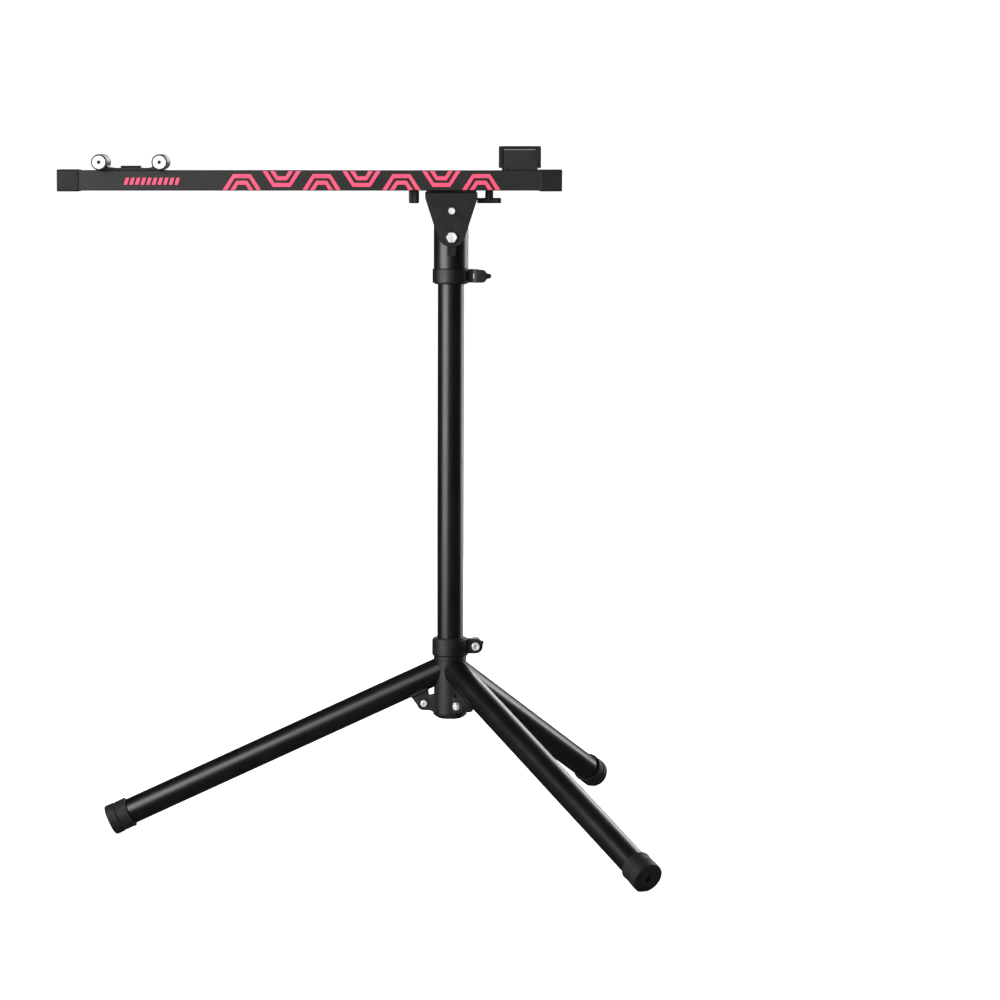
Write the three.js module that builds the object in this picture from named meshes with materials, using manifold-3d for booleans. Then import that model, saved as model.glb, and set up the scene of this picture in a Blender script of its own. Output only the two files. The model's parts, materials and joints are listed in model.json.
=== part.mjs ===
// Bike repair stand with a folding tripod, a telescoping mast and a tilting beam.
// Millimetres, +Z up. The stand is drawn about its mast axis, with the floor at z = 0,
// and the whole group is then moved so that its footprint is centred on the origin.
import * as THREE from 'three';
import { mergeVertices } from 'three/addons/utils/BufferGeometryUtils.js';
import Module from 'manifold-3d';

const wasm = await Module();
wasm.setup();

// ---------------------------------------------------------------- driving dimensions
const GAP = 0.3; // clearance between pieces that touch
const TUBE_R = 19; // mast and leg tubes
const TUBE_WALL = 2;
const FOOTPRINT_CENTRE = new THREE.Vector3(-144.6, 5.2, 0); // measured from the mast axis

const HUB = { r: 23.5, bore: 21.8, bottom: 182, top: 266.4 };
const BUSH = { inner: TUBE_R + GAP, outer: 21.5, slot: 1.5 };
const EAR = { inner: 5.8, outer: 10, boss: 11, r: 10.5, hole: 3.8 };

const LEG_AZIMUTHS = { left: 178, front: -58.8, rear: 61.3 }; // degrees from +X
const LEG_DROP = THREE.MathUtils.degToRad(25);
const LEG_PIVOT = { radius: 38, z: 196.8 };
const LEG_AXIS_OFFSET = 33.5; // from the hinge pin up to the tube's axis
const LEG_REACH = 493.9; // along the tube, from above the hinge to the foot's end face
const LEG_TONGUE = 5.5; // half width of the bracket between the hub's ears
const FOOT = { length: 33, wall: 5, band: 22.5, groove: 21.3, sleeve: 22, recess: 6 };

const MAST = { bottom: 178.3, top: 862 };
const SLEEVE = { r: 25, bottom: 831.1, top: 893 };
const CLAMP = { bore: 21.8, slot: 1.5, ear: 8, skewerX: 36.8, pinY: 17.6, shank: 3 };
const HUB_CLAMP = { low: 267, high: 291.6, r: 26.3, eyeZ: 280.7, earR: 10.9 };
const HEAD_CLAMP = { low: 810.2, high: 830.8, r: 26.7, eyeZ: 820.5, earR: 9.7 };
const LIP = 1.3; // height of the rim by which each slit bush hooks onto its collar
const HUB_LEVER_REST = THREE.MathUtils.degToRad(45); // the hub lever stands part open

const TILT_Z = 876.4;
const STOP_Z = 914.4;
const PAD_BOTTOM = 850;
const CHEEK = { inner: 27, outer: 29.5, top: 941.3, half: 37.2, shoulder: 932, bottom: 863.9 };
const WEB = 2.5;

const BEAM = { z: 958, halfWidth: 30, halfHeight: 14.6, left: -564.1, right: 155.3, wall: 2.2 };
const SLOT = { mouth: 8, half: 15, lip: 3.3, depth: 9.3 };
const CAP = { length: 31.3, wall: 3, skin: 1.2 };
const BEAM_TOP = BEAM.z + BEAM.halfHeight;
const BEAM_BOTTOM = BEAM.z - BEAM.halfHeight;

const THUMB_X = -53.8;
const TEE_X = 55;
const SCREW_R = 3;
const SCREW_HOLE = SCREW_R + GAP;

const BARREL = { r: 11.4, xs: [-505.4, -418.8], z: 984.2, half: 49.2, bore: 6.4 };
const INSERT = { face: 50, disc: 9.5, stem: 6.1, bore: 2.5, seat: 9.8 };
const CARRIAGE = { low: -511.3, high: -414.7, half: 28, plate: 3, blockHalf: 14.2, blockTop: 979.1 };
const REST = { x: 98.9, half: 29.5, depth: 25, top: 1007.3, skin: 5.1, foot: 2.5 };

// ---------------------------------------------------------------- materials
const finish = (color, roughness, metalness) => ({ color, roughness, metalness });
const GLOSS_BLACK = finish(0x0e0e0f, 0.32, 0.1);
const SATIN_BLACK = finish(0x1a1a1b, 0.5, 0.1);
const ANODISED = finish(0x222224, 0.45, 0.6);
const BLACK_NYLON = finish(0x161616, 0.6, 0);
const RUBBER = finish(0x0c0c0c, 0.85, 0);
const ZINC = finish(0xd2d4d6, 0.25, 1);
const ALUMINIUM = finish(0xe4e5e6, 0.3, 1);

// ---------------------------------------------------------------- solids
function toSolid(geometry) {
  const bare = geometry.clone();
  bare.deleteAttribute('normal');
  bare.deleteAttribute('uv');
  const merged = mergeVertices(bare, 1e-4);
  return new wasm.Manifold(new wasm.Mesh({
    numProp: 3,
    vertProperties: Float32Array.from(merged.attributes.position.array),
    triVerts: Uint32Array.from(merged.index.array),
  }));
}

function toGeometry(solid) {
  const mesh = solid.getMesh();
  const geometry = new THREE.BufferGeometry();
  geometry.setAttribute('position', new THREE.BufferAttribute(mesh.vertProperties, 3));
  geometry.setIndex(new THREE.BufferAttribute(mesh.triVerts, 1));
  geometry.computeVertexNormals();
  return geometry;
}

// Joins every geometry in plus to the base, then cuts every one in minus from it.
function combine(base, { plus = [], minus = [] }) {
  let result = toSolid(base);
  for (const extra of plus) result = result.add(toSolid(extra));
  for (const tool of minus) result = result.subtract(toSolid(tool));
  return toGeometry(result);
}

function overlap(first, second) {
  return toGeometry(toSolid(first).intersect(toSolid(second)));
}

function ascending(first, second) {
  return [Math.min(first, second), Math.max(first, second)];
}

function block([xLow, xHigh], [yLow, yHigh], [zLow, zHigh]) {
  const box = new THREE.BoxGeometry(xHigh - xLow, yHigh - yLow, zHigh - zLow);
  return box.translate((xLow + xHigh) / 2, (yLow + yHigh) / 2, (zLow + zHigh) / 2);
}

// A round bar between two points.
function rod(radius, from, to, sides = 16) {
  const start = new THREE.Vector3(...from);
  const way = new THREE.Vector3(...to).sub(start);
  const bar = new THREE.CylinderGeometry(radius, radius, way.length(), sides);
  const turn = new THREE.Quaternion().setFromUnitVectors(
    new THREE.Vector3(0, 1, 0),
    way.clone().normalize(),
  );
  const middle = start.clone().addScaledVector(way, 0.5);
  return bar.applyQuaternion(turn).translate(middle.x, middle.y, middle.z);
}

// A hexagon bar along Y at x, z with two corners level with its middle.
function hexAlongY(radius, x, z, yLow, yHigh) {
  const bar = new THREE.CylinderGeometry(radius, radius, yHigh - yLow, 6);
  return bar.rotateY(Math.PI / 2).translate(x, (yLow + yHigh) / 2, z);
}

// A solid of revolution about Z from [radius, z] points.
function turned(profile, sides = 28) {
  const points = profile.map(([radius, z]) => new THREE.Vector2(radius, z));
  return new THREE.LatheGeometry(points, sides).rotateX(Math.PI / 2);
}

function pipe(inner, outer, low, high, sides = 28) {
  return turned([[inner, low], [outer, low], [outer, high], [inner, high], [inner, low]], sides);
}

const AXIS_X = new THREE.Vector3(1, 0, 0);
const AXIS_Y = new THREE.Vector3(0, 1, 0);
const AXIS_Z = new THREE.Vector3(0, 0, 1);

function extruded(shape, depth, basis) {
  const settings = { depth, bevelEnabled: false, curveSegments: 5 };
  return new THREE.ExtrudeGeometry(shape, settings).applyMatrix4(basis);
}

// An outline in the XZ plane, between two values of y.
function slabXZ(shape, yLow, yHigh) {
  const basis = new THREE.Matrix4().makeBasis(AXIS_X, AXIS_Z, AXIS_Y.clone().negate());
  return extruded(shape, yHigh - yLow, basis).translate(0, yHigh, 0);
}

// An outline in the YZ plane, between two values of x.
function slabYZ(shape, xLow, xHigh) {
  const basis = new THREE.Matrix4().makeBasis(AXIS_Y, AXIS_Z, AXIS_X);
  return extruded(shape, xHigh - xLow, basis).translate(xLow, 0, 0);
}

// An outline in the XY plane, between two heights.
function slabXY(shape, zLow, zHigh) {
  return extruded(shape, zHigh - zLow, new THREE.Matrix4()).translate(0, 0, zLow);
}

function polygon(points) {
  return new THREE.Shape(points.map(([x, y]) => new THREE.Vector2(x, y)));
}

function roundedRectangle(halfWidth, halfHeight, middleY, radius) {
  const [x, y] = [halfWidth - radius, halfHeight - radius];
  const quarter = Math.PI / 2;
  const shape = new THREE.Shape();
  shape.absarc(x, middleY - y, radius, -quarter, 0);
  shape.absarc(x, middleY + y, radius, 0, quarter);
  shape.absarc(-x, middleY + y, radius, quarter, 2 * quarter);
  shape.absarc(-x, middleY - y, radius, 2 * quarter, 3 * quarter);
  return shape;
}

// ---------------------------------------------------------------- scene helpers
const stand = new THREE.Group();
stand.position.copy(FOOTPRINT_CENTRE).negate();

function addPart(parent, name, geometry, look) {
  const mesh = new THREE.Mesh(geometry, new THREE.MeshStandardMaterial(look));
  mesh.name = name;
  parent.add(mesh);
}

// ---------------------------------------------------------------- hub
function hubEar() {
  const shape = new THREE.Shape();
  const { radius, z } = LEG_PIVOT;
  shape.moveTo(HUB.r - EAR.r, z + EAR.r);
  shape.lineTo(radius, z + EAR.r);
  shape.absarc(radius, z, EAR.r, Math.PI / 2, -Math.PI / 2, true);
  shape.lineTo(radius - 6, z - EAR.r);
  shape.quadraticCurveTo(HUB.r + 1.5, z - EAR.r, HUB.r, HUB.bottom + 0.5);
  shape.lineTo(HUB.r - EAR.r, HUB.bottom + 0.5);
  return shape;
}

function hubBody() {
  const ears = [];
  const holes = [];
  for (const azimuth of Object.values(LEG_AZIMUTHS)) {
    const turn = THREE.MathUtils.degToRad(azimuth);
    for (const side of [-1, 1]) {
      const [low, high] = ascending(side * EAR.inner, side * EAR.outer);
      const end = [LEG_PIVOT.radius, side * EAR.boss, LEG_PIVOT.z];
      const start = [LEG_PIVOT.radius, side * EAR.inner, LEG_PIVOT.z];
      ears.push(slabXZ(hubEar(), low, high).rotateZ(turn));
      ears.push(rod(EAR.r - 3, start, end).rotateZ(turn));
    }
    const reach = EAR.boss + 1;
    const near = [LEG_PIVOT.radius, -reach, LEG_PIVOT.z];
    const far = [LEG_PIVOT.radius, reach, LEG_PIVOT.z];
    holes.push(rod(EAR.hole, near, far).rotateZ(turn));
  }
  const barrel = turned([[0, HUB.bottom], [HUB.r, HUB.bottom], [HUB.r, HUB.top], [0, HUB.top]], 36);
  const bore = rod(HUB.bore, [0, 0, HUB.bottom - 1], [0, 0, HUB.top + 1], 36);
  return combine(barrel, { plus: ears, minus: [bore, ...holes] });
}

function lowerBush() {
  const { inner, outer } = BUSH;
  return turned([
    [inner, 176.5], [20.8, 176.5], [24.6, 180], [24.6, 181.7], [outer, 181.7],
    [outer, 206], [inner, 206], [inner, 176.5],
  ]);
}

// A nylon bush with a lip at one end, slit where its clamp collar squeezes it.
function clampBush(lipZ, lipEnd, farEnd, slitEnd) {
  const { inner, outer, slot } = BUSH;
  const up = Math.sign(farEnd - lipZ);
  const body = pipe(inner, outer, ...ascending(lipZ, farEnd));
  const lip = pipe(inner, outer + 2.4, ...ascending(lipZ, lipEnd));
  const slit = ascending(lipZ - up, slitEnd);
  return combine(body, { plus: [lip], minus: [block([10, 30], [-slot, slot], slit)] });
}

addPart(stand, 'hub_body', hubBody(), SATIN_BLACK);
addPart(stand, 'hub_lower_bush', lowerBush(), BLACK_NYLON);
addPart(stand, 'hub_upper_bush', clampBush(HUB_CLAMP.high + GAP + LIP, HUB_CLAMP.high + GAP, 236, 250), BLACK_NYLON);

// ---------------------------------------------------------------- quick-release clamps
function clampCollar({ low, high, r, eyeZ, earR }) {
  const { bore, slot, ear, skewerX } = CLAMP;
  const outline = new THREE.Shape();
  outline.moveTo(bore - 2, eyeZ - earR);
  outline.absarc(skewerX, eyeZ, earR, -Math.PI / 2, Math.PI / 2);
  outline.lineTo(bore - 2, eyeZ + earR);
  return combine(rod(r, [0, 0, low], [0, 0, high], 36), {
    plus: [slabXZ(outline, -ear, ear)],
    minus: [
      rod(bore, [0, 0, low - 1], [0, 0, high + 1], 36),
      block([0, skewerX + earR + 1], [-slot, slot], [low - 1, high + 1]),
      rod(CLAMP.shank + GAP, [skewerX, -ear - 1, eyeZ], [skewerX, ear + 1, eyeZ]),
    ],
  });
}

const EYE = { r: 5.3, half: 3.5, pin: 2.5, camR: 7, camHalf: 9.4, nutR: 5.75, nutEnd: 14.5 };

// The clamp's skewer, pin, lever, washer and nut are drawn about the pin, lever towards -Y.
function clampSkewer() {
  const tail = CLAMP.pinY + 12;
  return combine(rod(EYE.r, [0, 0, -EYE.half], [0, 0, EYE.half]), {
    plus: [rod(CLAMP.shank, [0, 0, 0], [0, tail, 0])],
    minus: [rod(EYE.pin + GAP, [0, 0, -EYE.half - 1], [0, 0, EYE.half + 1])],
  });
}

function leverFromAbove() {
  const shape = new THREE.Shape();
  shape.moveTo(0, -EYE.camR);
  shape.absarc(0, 0, EYE.camR, -Math.PI / 2, 0.15, true);
  shape.lineTo(11, -1.4);
  shape.quadraticCurveTo(17, -3.4, 20.7, -1.2);
  shape.lineTo(20.7, -4);
  shape.quadraticCurveTo(16, -7.4, 10, -EYE.camR);
  return shape;
}

function leverFromFront() {
  const shape = new THREE.Shape();
  shape.moveTo(-EYE.camR - 1, -EYE.camHalf);
  shape.lineTo(8, -EYE.camHalf);
  shape.quadraticCurveTo(13, -8.6, 14.5, -3.7);
  shape.lineTo(18, -3.5);
  shape.quadraticCurveTo(20.8, -3, 20.9, 0);
  shape.quadraticCurveTo(20.8, 3, 18, 3.5);
  shape.lineTo(14.5, 3.7);
  shape.quadraticCurveTo(13, 8.6, 8, EYE.camHalf);
  shape.lineTo(-EYE.camR - 1, EYE.camHalf);
  return shape;
}

function clampLever() {
  const seenFromAbove = slabXY(leverFromAbove(), -EYE.camHalf, EYE.camHalf);
  const seenFromFront = slabXZ(leverFromFront(), -20, 20);
  const half = EYE.half + 0.4;
  return combine(overlap(seenFromAbove, seenFromFront), {
    minus: [
      block([-8, CLAMP.shank + GAP], [-8, 8], [-half, half]),
      rod(EYE.r + 0.5, [0, 0, -half], [0, 0, half]),
      rod(EYE.pin + GAP, [0, 0, -EYE.camHalf - 1], [0, 0, EYE.camHalf + 1]),
    ],
  });
}

function clampWasher() {
  const [near, far] = [CLAMP.pinY - CLAMP.ear - GAP, CLAMP.pinY - CLAMP.ear - 2.2];
  return combine(rod(8.5, [0, far, 0], [0, near, 0]), {
    minus: [rod(CLAMP.shank + GAP, [0, far - 1, 0], [0, near + 1, 0])],
  });
}

function clampNut() {
  const start = CLAMP.pinY + CLAMP.ear + GAP;
  const end = CLAMP.pinY + EYE.nutEnd;
  return combine(rod(EYE.nutR, [0, start, 0], [0, end, 0]), {
    minus: [
      rod(CLAMP.shank + GAP, [0, start - 1, 0], [0, start + 4, 0]),
      hexAlongY(2.5, 0, 0, start + 3, end + 1),
    ],
  });
}

// A clamp with its lever behind the mast is turned over about X.
function addClamp(prefix, size, leverBehind, leverTurn) {
  addPart(stand, `${prefix}_clamp_collar`, clampCollar(size), SATIN_BLACK);
  const works = new THREE.Group();
  const side = leverBehind ? 1 : -1;
  works.position.set(CLAMP.skewerX, side * CLAMP.pinY, size.eyeZ);
  works.rotation.x = leverBehind ? Math.PI : 0;
  addPart(works, `${prefix}_clamp_skewer`, clampSkewer(), ZINC);
  addPart(works, `${prefix}_clamp_pin`, rod(EYE.pin, [0, 0, -9], [0, 0, 9]), ZINC);
  addPart(works, `${prefix}_clamp_lever`, clampLever().rotateZ(-leverTurn), BLACK_NYLON);
  addPart(works, `${prefix}_clamp_washer`, clampWasher(), BLACK_NYLON);
  addPart(works, `${prefix}_clamp_nut`, clampNut(), ZINC);
  stand.add(works);
}

addClamp('hub', HUB_CLAMP, true, HUB_LEVER_REST);
addClamp('head', HEAD_CLAMP, false, 0);

// ---------------------------------------------------------------- legs
// A leg is drawn in its own upright plane: x is the radius from the mast, y is tangential.
const LEG_WAY = new THREE.Vector3(Math.cos(LEG_DROP), 0, -Math.sin(LEG_DROP));
const LEG_UP = new THREE.Vector3(Math.sin(LEG_DROP), 0, Math.cos(LEG_DROP));
const LEG_FRAME = new THREE.Matrix4().makeBasis(LEG_WAY, AXIS_Y, LEG_UP).setPosition(
  LEG_PIVOT.radius + LEG_AXIS_OFFSET * LEG_UP.x,
  0,
  LEG_PIVOT.z + LEG_AXIS_OFFSET * LEG_UP.z,
);

// Lays something drawn about Z along the leg's tube.
function alongLeg(geometry) {
  return geometry.rotateY(Math.PI / 2).applyMatrix4(LEG_FRAME);
}

function legTube() {
  const blank = alongLeg(pipe(TUBE_R - TUBE_WALL, TUBE_R, -46, LEG_REACH - FOOT.wall - GAP));
  return combine(blank, { minus: [rod(HUB.r + GAP, [0, 0, 150], [0, 0, 350], 36)] });
}

function legTongue() {
  const shape = new THREE.Shape();
  const lowest = -LEG_AXIS_OFFSET;
  shape.moveTo(-13, 1 - TUBE_R);
  shape.lineTo(-EAR.r + 0.6, lowest + 3.5);
  shape.absarc(0, lowest, EAR.r, 0.9 * Math.PI, 2.05 * Math.PI);
  shape.lineTo(12, 1 - TUBE_R);
  return shape;
}

function legBracket() {
  const saddle = pipe(TUBE_R + GAP, TUBE_R + 2.6, -13, 13).rotateY(Math.PI / 2);
  const keepBelow = block([-20, 20], [-13, 13], [-30, -12]);
  const tongue = combine(slabXZ(legTongue(), -LEG_TONGUE, LEG_TONGUE), {
    plus: [overlap(saddle, keepBelow)],
    minus: [
      rod(TUBE_R + GAP, [-30, 0, 0], [30, 0, 0], 28),
      rod(EAR.hole, [0, -20, -LEG_AXIS_OFFSET], [0, 20, -LEG_AXIS_OFFSET]),
    ],
  });
  return tongue.applyMatrix4(LEG_FRAME);
}

function legPivotBolt() {
  const { radius, z } = LEG_PIVOT;
  const seat = EAR.boss + GAP;
  return combine(rod(3.5, [radius, -seat - 5.6, z], [radius, seat, z]), {
    plus: [rod(5, [radius, seat, z], [radius, seat + 3.4, z])],
    minus: [hexAlongY(2.4, radius, z, seat + 1.6, seat + 5)],
  });
}

function legPivotNut() {
  const { radius, z } = LEG_PIVOT;
  const [near, far] = [-EAR.boss - GAP, -EAR.boss - 5.2];
  return combine(hexAlongY(6, radius, z, far, near), {
    minus: [rod(EAR.hole, [radius, far - 1, z], [radius, near + 1, z])],
  });
}

function footCap() {
  const { length, wall, band, groove, sleeve, recess } = FOOT;
  const end = LEG_REACH;
  const mouth = end - length;
  const inner = TUBE_R + GAP;
  const cup = turned([
    [0, end - wall], [inner, end - wall], [inner, mouth], [band, mouth], [band, mouth + 2.5],
    [sleeve, mouth + 3.2], [sleeve, mouth + 16.2], [groove, mouth + 16.8], [groove, mouth + 18],
    [band, mouth + 18.6], [band, end - 1.4], [band - 1.4, end], [0, end],
  ]);
  return combine(alongLeg(cup), {
    minus: [
      alongLeg(rod(recess, [0, 0, end - 3], [0, 0, end + 1], 4)),
      block([400, 560], [-60, 60], [-60, 0]),
    ],
  });
}

for (const [side, azimuth] of Object.entries(LEG_AZIMUTHS)) {
  const leg = new THREE.Group();
  leg.rotation.z = THREE.MathUtils.degToRad(azimuth);
  addPart(leg, `${side}_leg_tube`, legTube(), GLOSS_BLACK);
  addPart(leg, `${side}_leg_bracket`, legBracket(), SATIN_BLACK);
  addPart(leg, `${side}_leg_pivot_bolt`, legPivotBolt(), ZINC);
  addPart(leg, `${side}_leg_pivot_nut`, legPivotNut(), ZINC);
  addPart(leg, `${side}_foot_cap`, footCap(), RUBBER);
  stand.add(leg);
}

// ---------------------------------------------------------------- mast and head sleeve
function mastPlug() {
  const [rim, stem] = [MAST.bottom - GAP, TUBE_R - TUBE_WALL - GAP];
  return turned([
    [0, rim - 3.5], [TUBE_R - 2, rim - 3.5], [TUBE_R, rim - 1.2], [TUBE_R, rim],
    [stem, rim], [stem, rim + 14], [0, rim + 14],
  ]);
}

function sleeveTube() {
  return combine(pipe(CLAMP.bore, SLEEVE.r, SLEEVE.bottom, SLEEVE.top, 36), {
    minus: [rod(5 + GAP, [0, -30, TILT_Z], [0, 30, TILT_Z])],
  });
}

function pivotPad(side) {
  const [near, far] = ascending(side * 20, side * (CHEEK.inner - GAP));
  return combine(block([-6, 6], [near, far], [PAD_BOTTOM, SLEEVE.top]), {
    minus: [
      rod(SLEEVE.r + GAP, [0, 0, 840], [0, 0, 900], 36),
      rod(5 + GAP, [0, -30, TILT_Z], [0, 30, TILT_Z]),
    ],
  });
}

addPart(stand, 'mast_tube', pipe(TUBE_R - TUBE_WALL, TUBE_R, MAST.bottom, MAST.top), GLOSS_BLACK);
addPart(stand, 'mast_end_plug', mastPlug(), BLACK_NYLON);
addPart(stand, 'head_sleeve', sleeveTube(), GLOSS_BLACK);
addPart(stand, 'head_sleeve_bush', clampBush(HEAD_CLAMP.low - GAP - LIP, HEAD_CLAMP.low - GAP, 864, 846), BLACK_NYLON);
addPart(stand, 'pivot_pad_front', pivotPad(-1), BLACK_NYLON);
addPart(stand, 'pivot_pad_rear', pivotPad(1), BLACK_NYLON);

// ---------------------------------------------------------------- tilting bracket
// A bolt along Y at height z, its hexagon head towards -Y.
function crossBolt({ z, shank, head, seat, headHeight, end }) {
  return combine(rod(shank, [0, -seat, z], [0, end, z]), {
    plus: [hexAlongY(head, 0, z, -seat - headHeight, -seat)],
  });
}

function crossNut({ z, hole, r, seat, thickness }) {
  return combine(hexAlongY(r, 0, z, seat, seat + thickness), {
    minus: [rod(hole, [0, seat - 1, z], [0, seat + thickness + 1, z])],
  });
}

function headBracket() {
  const { top, half, shoulder, bottom, inner, outer } = CHEEK;
  const outline = new THREE.Shape();
  outline.moveTo(-half, top);
  outline.lineTo(-half, shoulder);
  outline.lineTo(-21.3, 883);
  outline.quadraticCurveTo(-16, bottom, -6, bottom);
  outline.lineTo(6, bottom);
  outline.quadraticCurveTo(16, bottom, 21.3, 883);
  outline.lineTo(half, shoulder);
  outline.lineTo(half, top);
  return combine(slabXZ(outline, -outer, outer), {
    minus: [
      block([-60, 60], [-inner, inner], [840, top - WEB]),
      rod(5 + GAP, [0, -40, TILT_Z], [0, 40, TILT_Z]),
      rod(SCREW_HOLE, [0, -40, STOP_Z], [0, 40, STOP_Z]),
    ],
  });
}

// The bar that runs in the beam's lower slot; its neck stands on the bracket.
function slideBar() {
  const low = BEAM_BOTTOM + SLOT.lip + GAP;
  const high = BEAM_BOTTOM + SLOT.depth - GAP - 0.3;
  const neck = SLOT.mouth - GAP - 0.2;
  const holes = [THUMB_X, TEE_X].map((x) => rod(SCREW_HOLE, [x, 0, low - 9], [x, 0, high + 9]));
  return combine(block([-68, 70], [GAP - SLOT.half, SLOT.half - GAP], [low, high]), {
    plus: [block([-36, 36], [-neck, neck], [CHEEK.top + GAP, low + 1])],
    minus: holes,
  });
}

const SCREW_TIP = BEAM_BOTTOM + SLOT.depth - GAP;
const KNOB = { top: BEAM_BOTTOM - GAP, bottom: 925, r: 7.5, ribs: 12 };
const TEE = { half: 17.5, width: 6.4, top: 932.8, post: 6.1 };

function ribbedOutline(radius, depth, ribs) {
  const points = [];
  for (let step = 0; step < 4 * ribs; step += 1) {
    const angle = (step / (4 * ribs)) * 2 * Math.PI;
    const reach = radius - (step % 4 < 2 ? 0 : depth);
    points.push([reach * Math.cos(angle), reach * Math.sin(angle)]);
  }
  return polygon(points);
}

function thumbScrew() {
  const knob = slabXY(ribbedOutline(KNOB.r, 0.7, KNOB.ribs), KNOB.bottom, KNOB.top);
  return combine(knob, {
    plus: [rod(SCREW_R, [0, 0, KNOB.top - 1], [0, 0, SCREW_TIP])],
  }).translate(THUMB_X, 0, 0);
}

function teeScrew() {
  const bar = roundedRectangle(TEE.half, TEE.width, 0, 3);
  return combine(slabXY(bar, KNOB.bottom, TEE.top), {
    plus: [
      rod(TEE.post, [0, 0, KNOB.bottom + 1], [0, 0, KNOB.top]),
      rod(SCREW_R, [0, 0, KNOB.top - 1], [0, 0, SCREW_TIP]),
    ],
  }).translate(TEE_X, 0, 0);
}

const TILT_SEAT = CHEEK.outer + GAP;
addPart(stand, 'tilt_washer', combine(rod(10, [0, -TILT_SEAT - 1.2, TILT_Z], [0, -TILT_SEAT, TILT_Z]), {
  minus: [rod(5 + GAP, [0, -40, TILT_Z], [0, -20, TILT_Z])],
}), SATIN_BLACK);
addPart(stand, 'tilt_bolt', crossBolt({
  z: TILT_Z, shank: 5, head: 8, seat: TILT_SEAT + 1.2 + GAP, headHeight: 4.5, end: 38,
}), ZINC);
addPart(stand, 'tilt_nut', crossNut({
  z: TILT_Z, hole: 5 + GAP, r: 9.2, seat: TILT_SEAT, thickness: 7,
}), ZINC);
addPart(stand, 'stop_bolt', crossBolt({
  z: STOP_Z, shank: SCREW_R, head: 5.2, seat: TILT_SEAT, headHeight: 3.2, end: 36,
}), ZINC);
addPart(stand, 'stop_nut', crossNut({
  z: STOP_Z, hole: SCREW_HOLE, r: 5.7, seat: TILT_SEAT, thickness: 5,
}), ZINC);
addPart(stand, 'stop_spacer', combine(rod(5.5, [0, -26.7, STOP_Z], [0, 26.7, STOP_Z]), {
  minus: [rod(SCREW_HOLE, [0, -30, STOP_Z], [0, 30, STOP_Z])],
}), BLACK_NYLON);
addPart(stand, 'head_bracket', headBracket(), SATIN_BLACK);
addPart(stand, 'slide_bar', slideBar(), ANODISED);
addPart(stand, 'thumb_screw', thumbScrew(), BLACK_NYLON);
addPart(stand, 'tee_screw', teeScrew(), BLACK_NYLON);

// ---------------------------------------------------------------- beam
function beamExtrusion() {
  const { z, halfWidth, halfHeight, left, right, wall } = BEAM;
  const length = [left - 1, right + 1];
  const core = halfHeight - SLOT.depth - wall;
  const hollows = [block(length, [-SLOT.half, SLOT.half], [z - core, z + core])];
  for (const side of [-1, 1]) {
    const chamber = ascending(side * (SLOT.half + wall), side * (halfWidth - wall));
    const mouth = ascending(z + side * (halfHeight + 1), z + side * (halfHeight - SLOT.lip - 1));
    const channel = ascending(z + side * (halfHeight - SLOT.lip), z + side * (halfHeight - SLOT.depth));
    hollows.push(block(length, chamber, [z + wall - halfHeight, z + halfHeight - wall]));
    hollows.push(block(length, [-SLOT.mouth, SLOT.mouth], mouth));
    hollows.push(block(length, [-SLOT.half, SLOT.half], channel));
  }
  const outline = roundedRectangle(halfWidth, halfHeight, z, 1.5);
  return combine(slabYZ(outline, left, right), { minus: hollows });
}

// The cap's closed end is at outer; it slips over the beam towards mouth.
function endCap(outer, mouth) {
  const inward = Math.sign(mouth - outer);
  const [low, high] = ascending(outer, mouth);
  const pocket = ascending(outer + inward * CAP.wall, mouth + inward);
  const { z, halfWidth, halfHeight } = BEAM;
  const shell = roundedRectangle(halfWidth + CAP.skin, halfHeight + CAP.skin, z, 2.4);
  const hollow = roundedRectangle(halfWidth + GAP, halfHeight + GAP, z, 1.6);
  return combine(slabYZ(shell, low, high), { minus: [slabYZ(hollow, ...pocket)] });
}

const LEFT_END = BEAM.left - CAP.wall - GAP;
const RIGHT_END = BEAM.right + CAP.wall + GAP;
addPart(stand, 'beam_extrusion', beamExtrusion(), ANODISED);
addPart(stand, 'end_cap_left', endCap(LEFT_END, LEFT_END + CAP.length), BLACK_NYLON);
addPart(stand, 'end_cap_right', endCap(RIGHT_END, RIGHT_END - CAP.length), BLACK_NYLON);

// ---------------------------------------------------------------- pieces in the top slot
const SEAT = BEAM_TOP + GAP; // underside of what stands on the beam
const TEE_NUT = { half: 14, low: BEAM_TOP - SLOT.depth + GAP, high: BEAM_TOP - SLOT.lip - GAP };

function teeNut(x) {
  const neck = SLOT.mouth - GAP;
  const width = SLOT.half - GAP;
  return combine(block([x - TEE_NUT.half, x + TEE_NUT.half], [-width, width], [TEE_NUT.low, TEE_NUT.high]), {
    plus: [block([x - TEE_NUT.half, x + TEE_NUT.half], [-neck, neck], [TEE_NUT.high - 1, BEAM_TOP])],
    minus: [rod(SCREW_HOLE, [x, 0, TEE_NUT.low - 1], [x, 0, BEAM_TOP + 1])],
  });
}

// A socket-head screw standing in a tee nut, its head's underside at seat.
function slotScrew(x, seat) {
  return combine(rod(SCREW_R, [x, 0, TEE_NUT.low], [x, 0, seat]), {
    plus: [rod(5.2, [x, 0, seat], [x, 0, seat + 3])],
    minus: [rod(2.3, [x, 0, seat + 1], [x, 0, seat + 4], 6)],
  });
}

const CARRIAGE_X = (BARREL.xs[0] + BARREL.xs[1]) / 2;
const CARRIAGE_SEAT = CARRIAGE.blockTop - 3.2;

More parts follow.
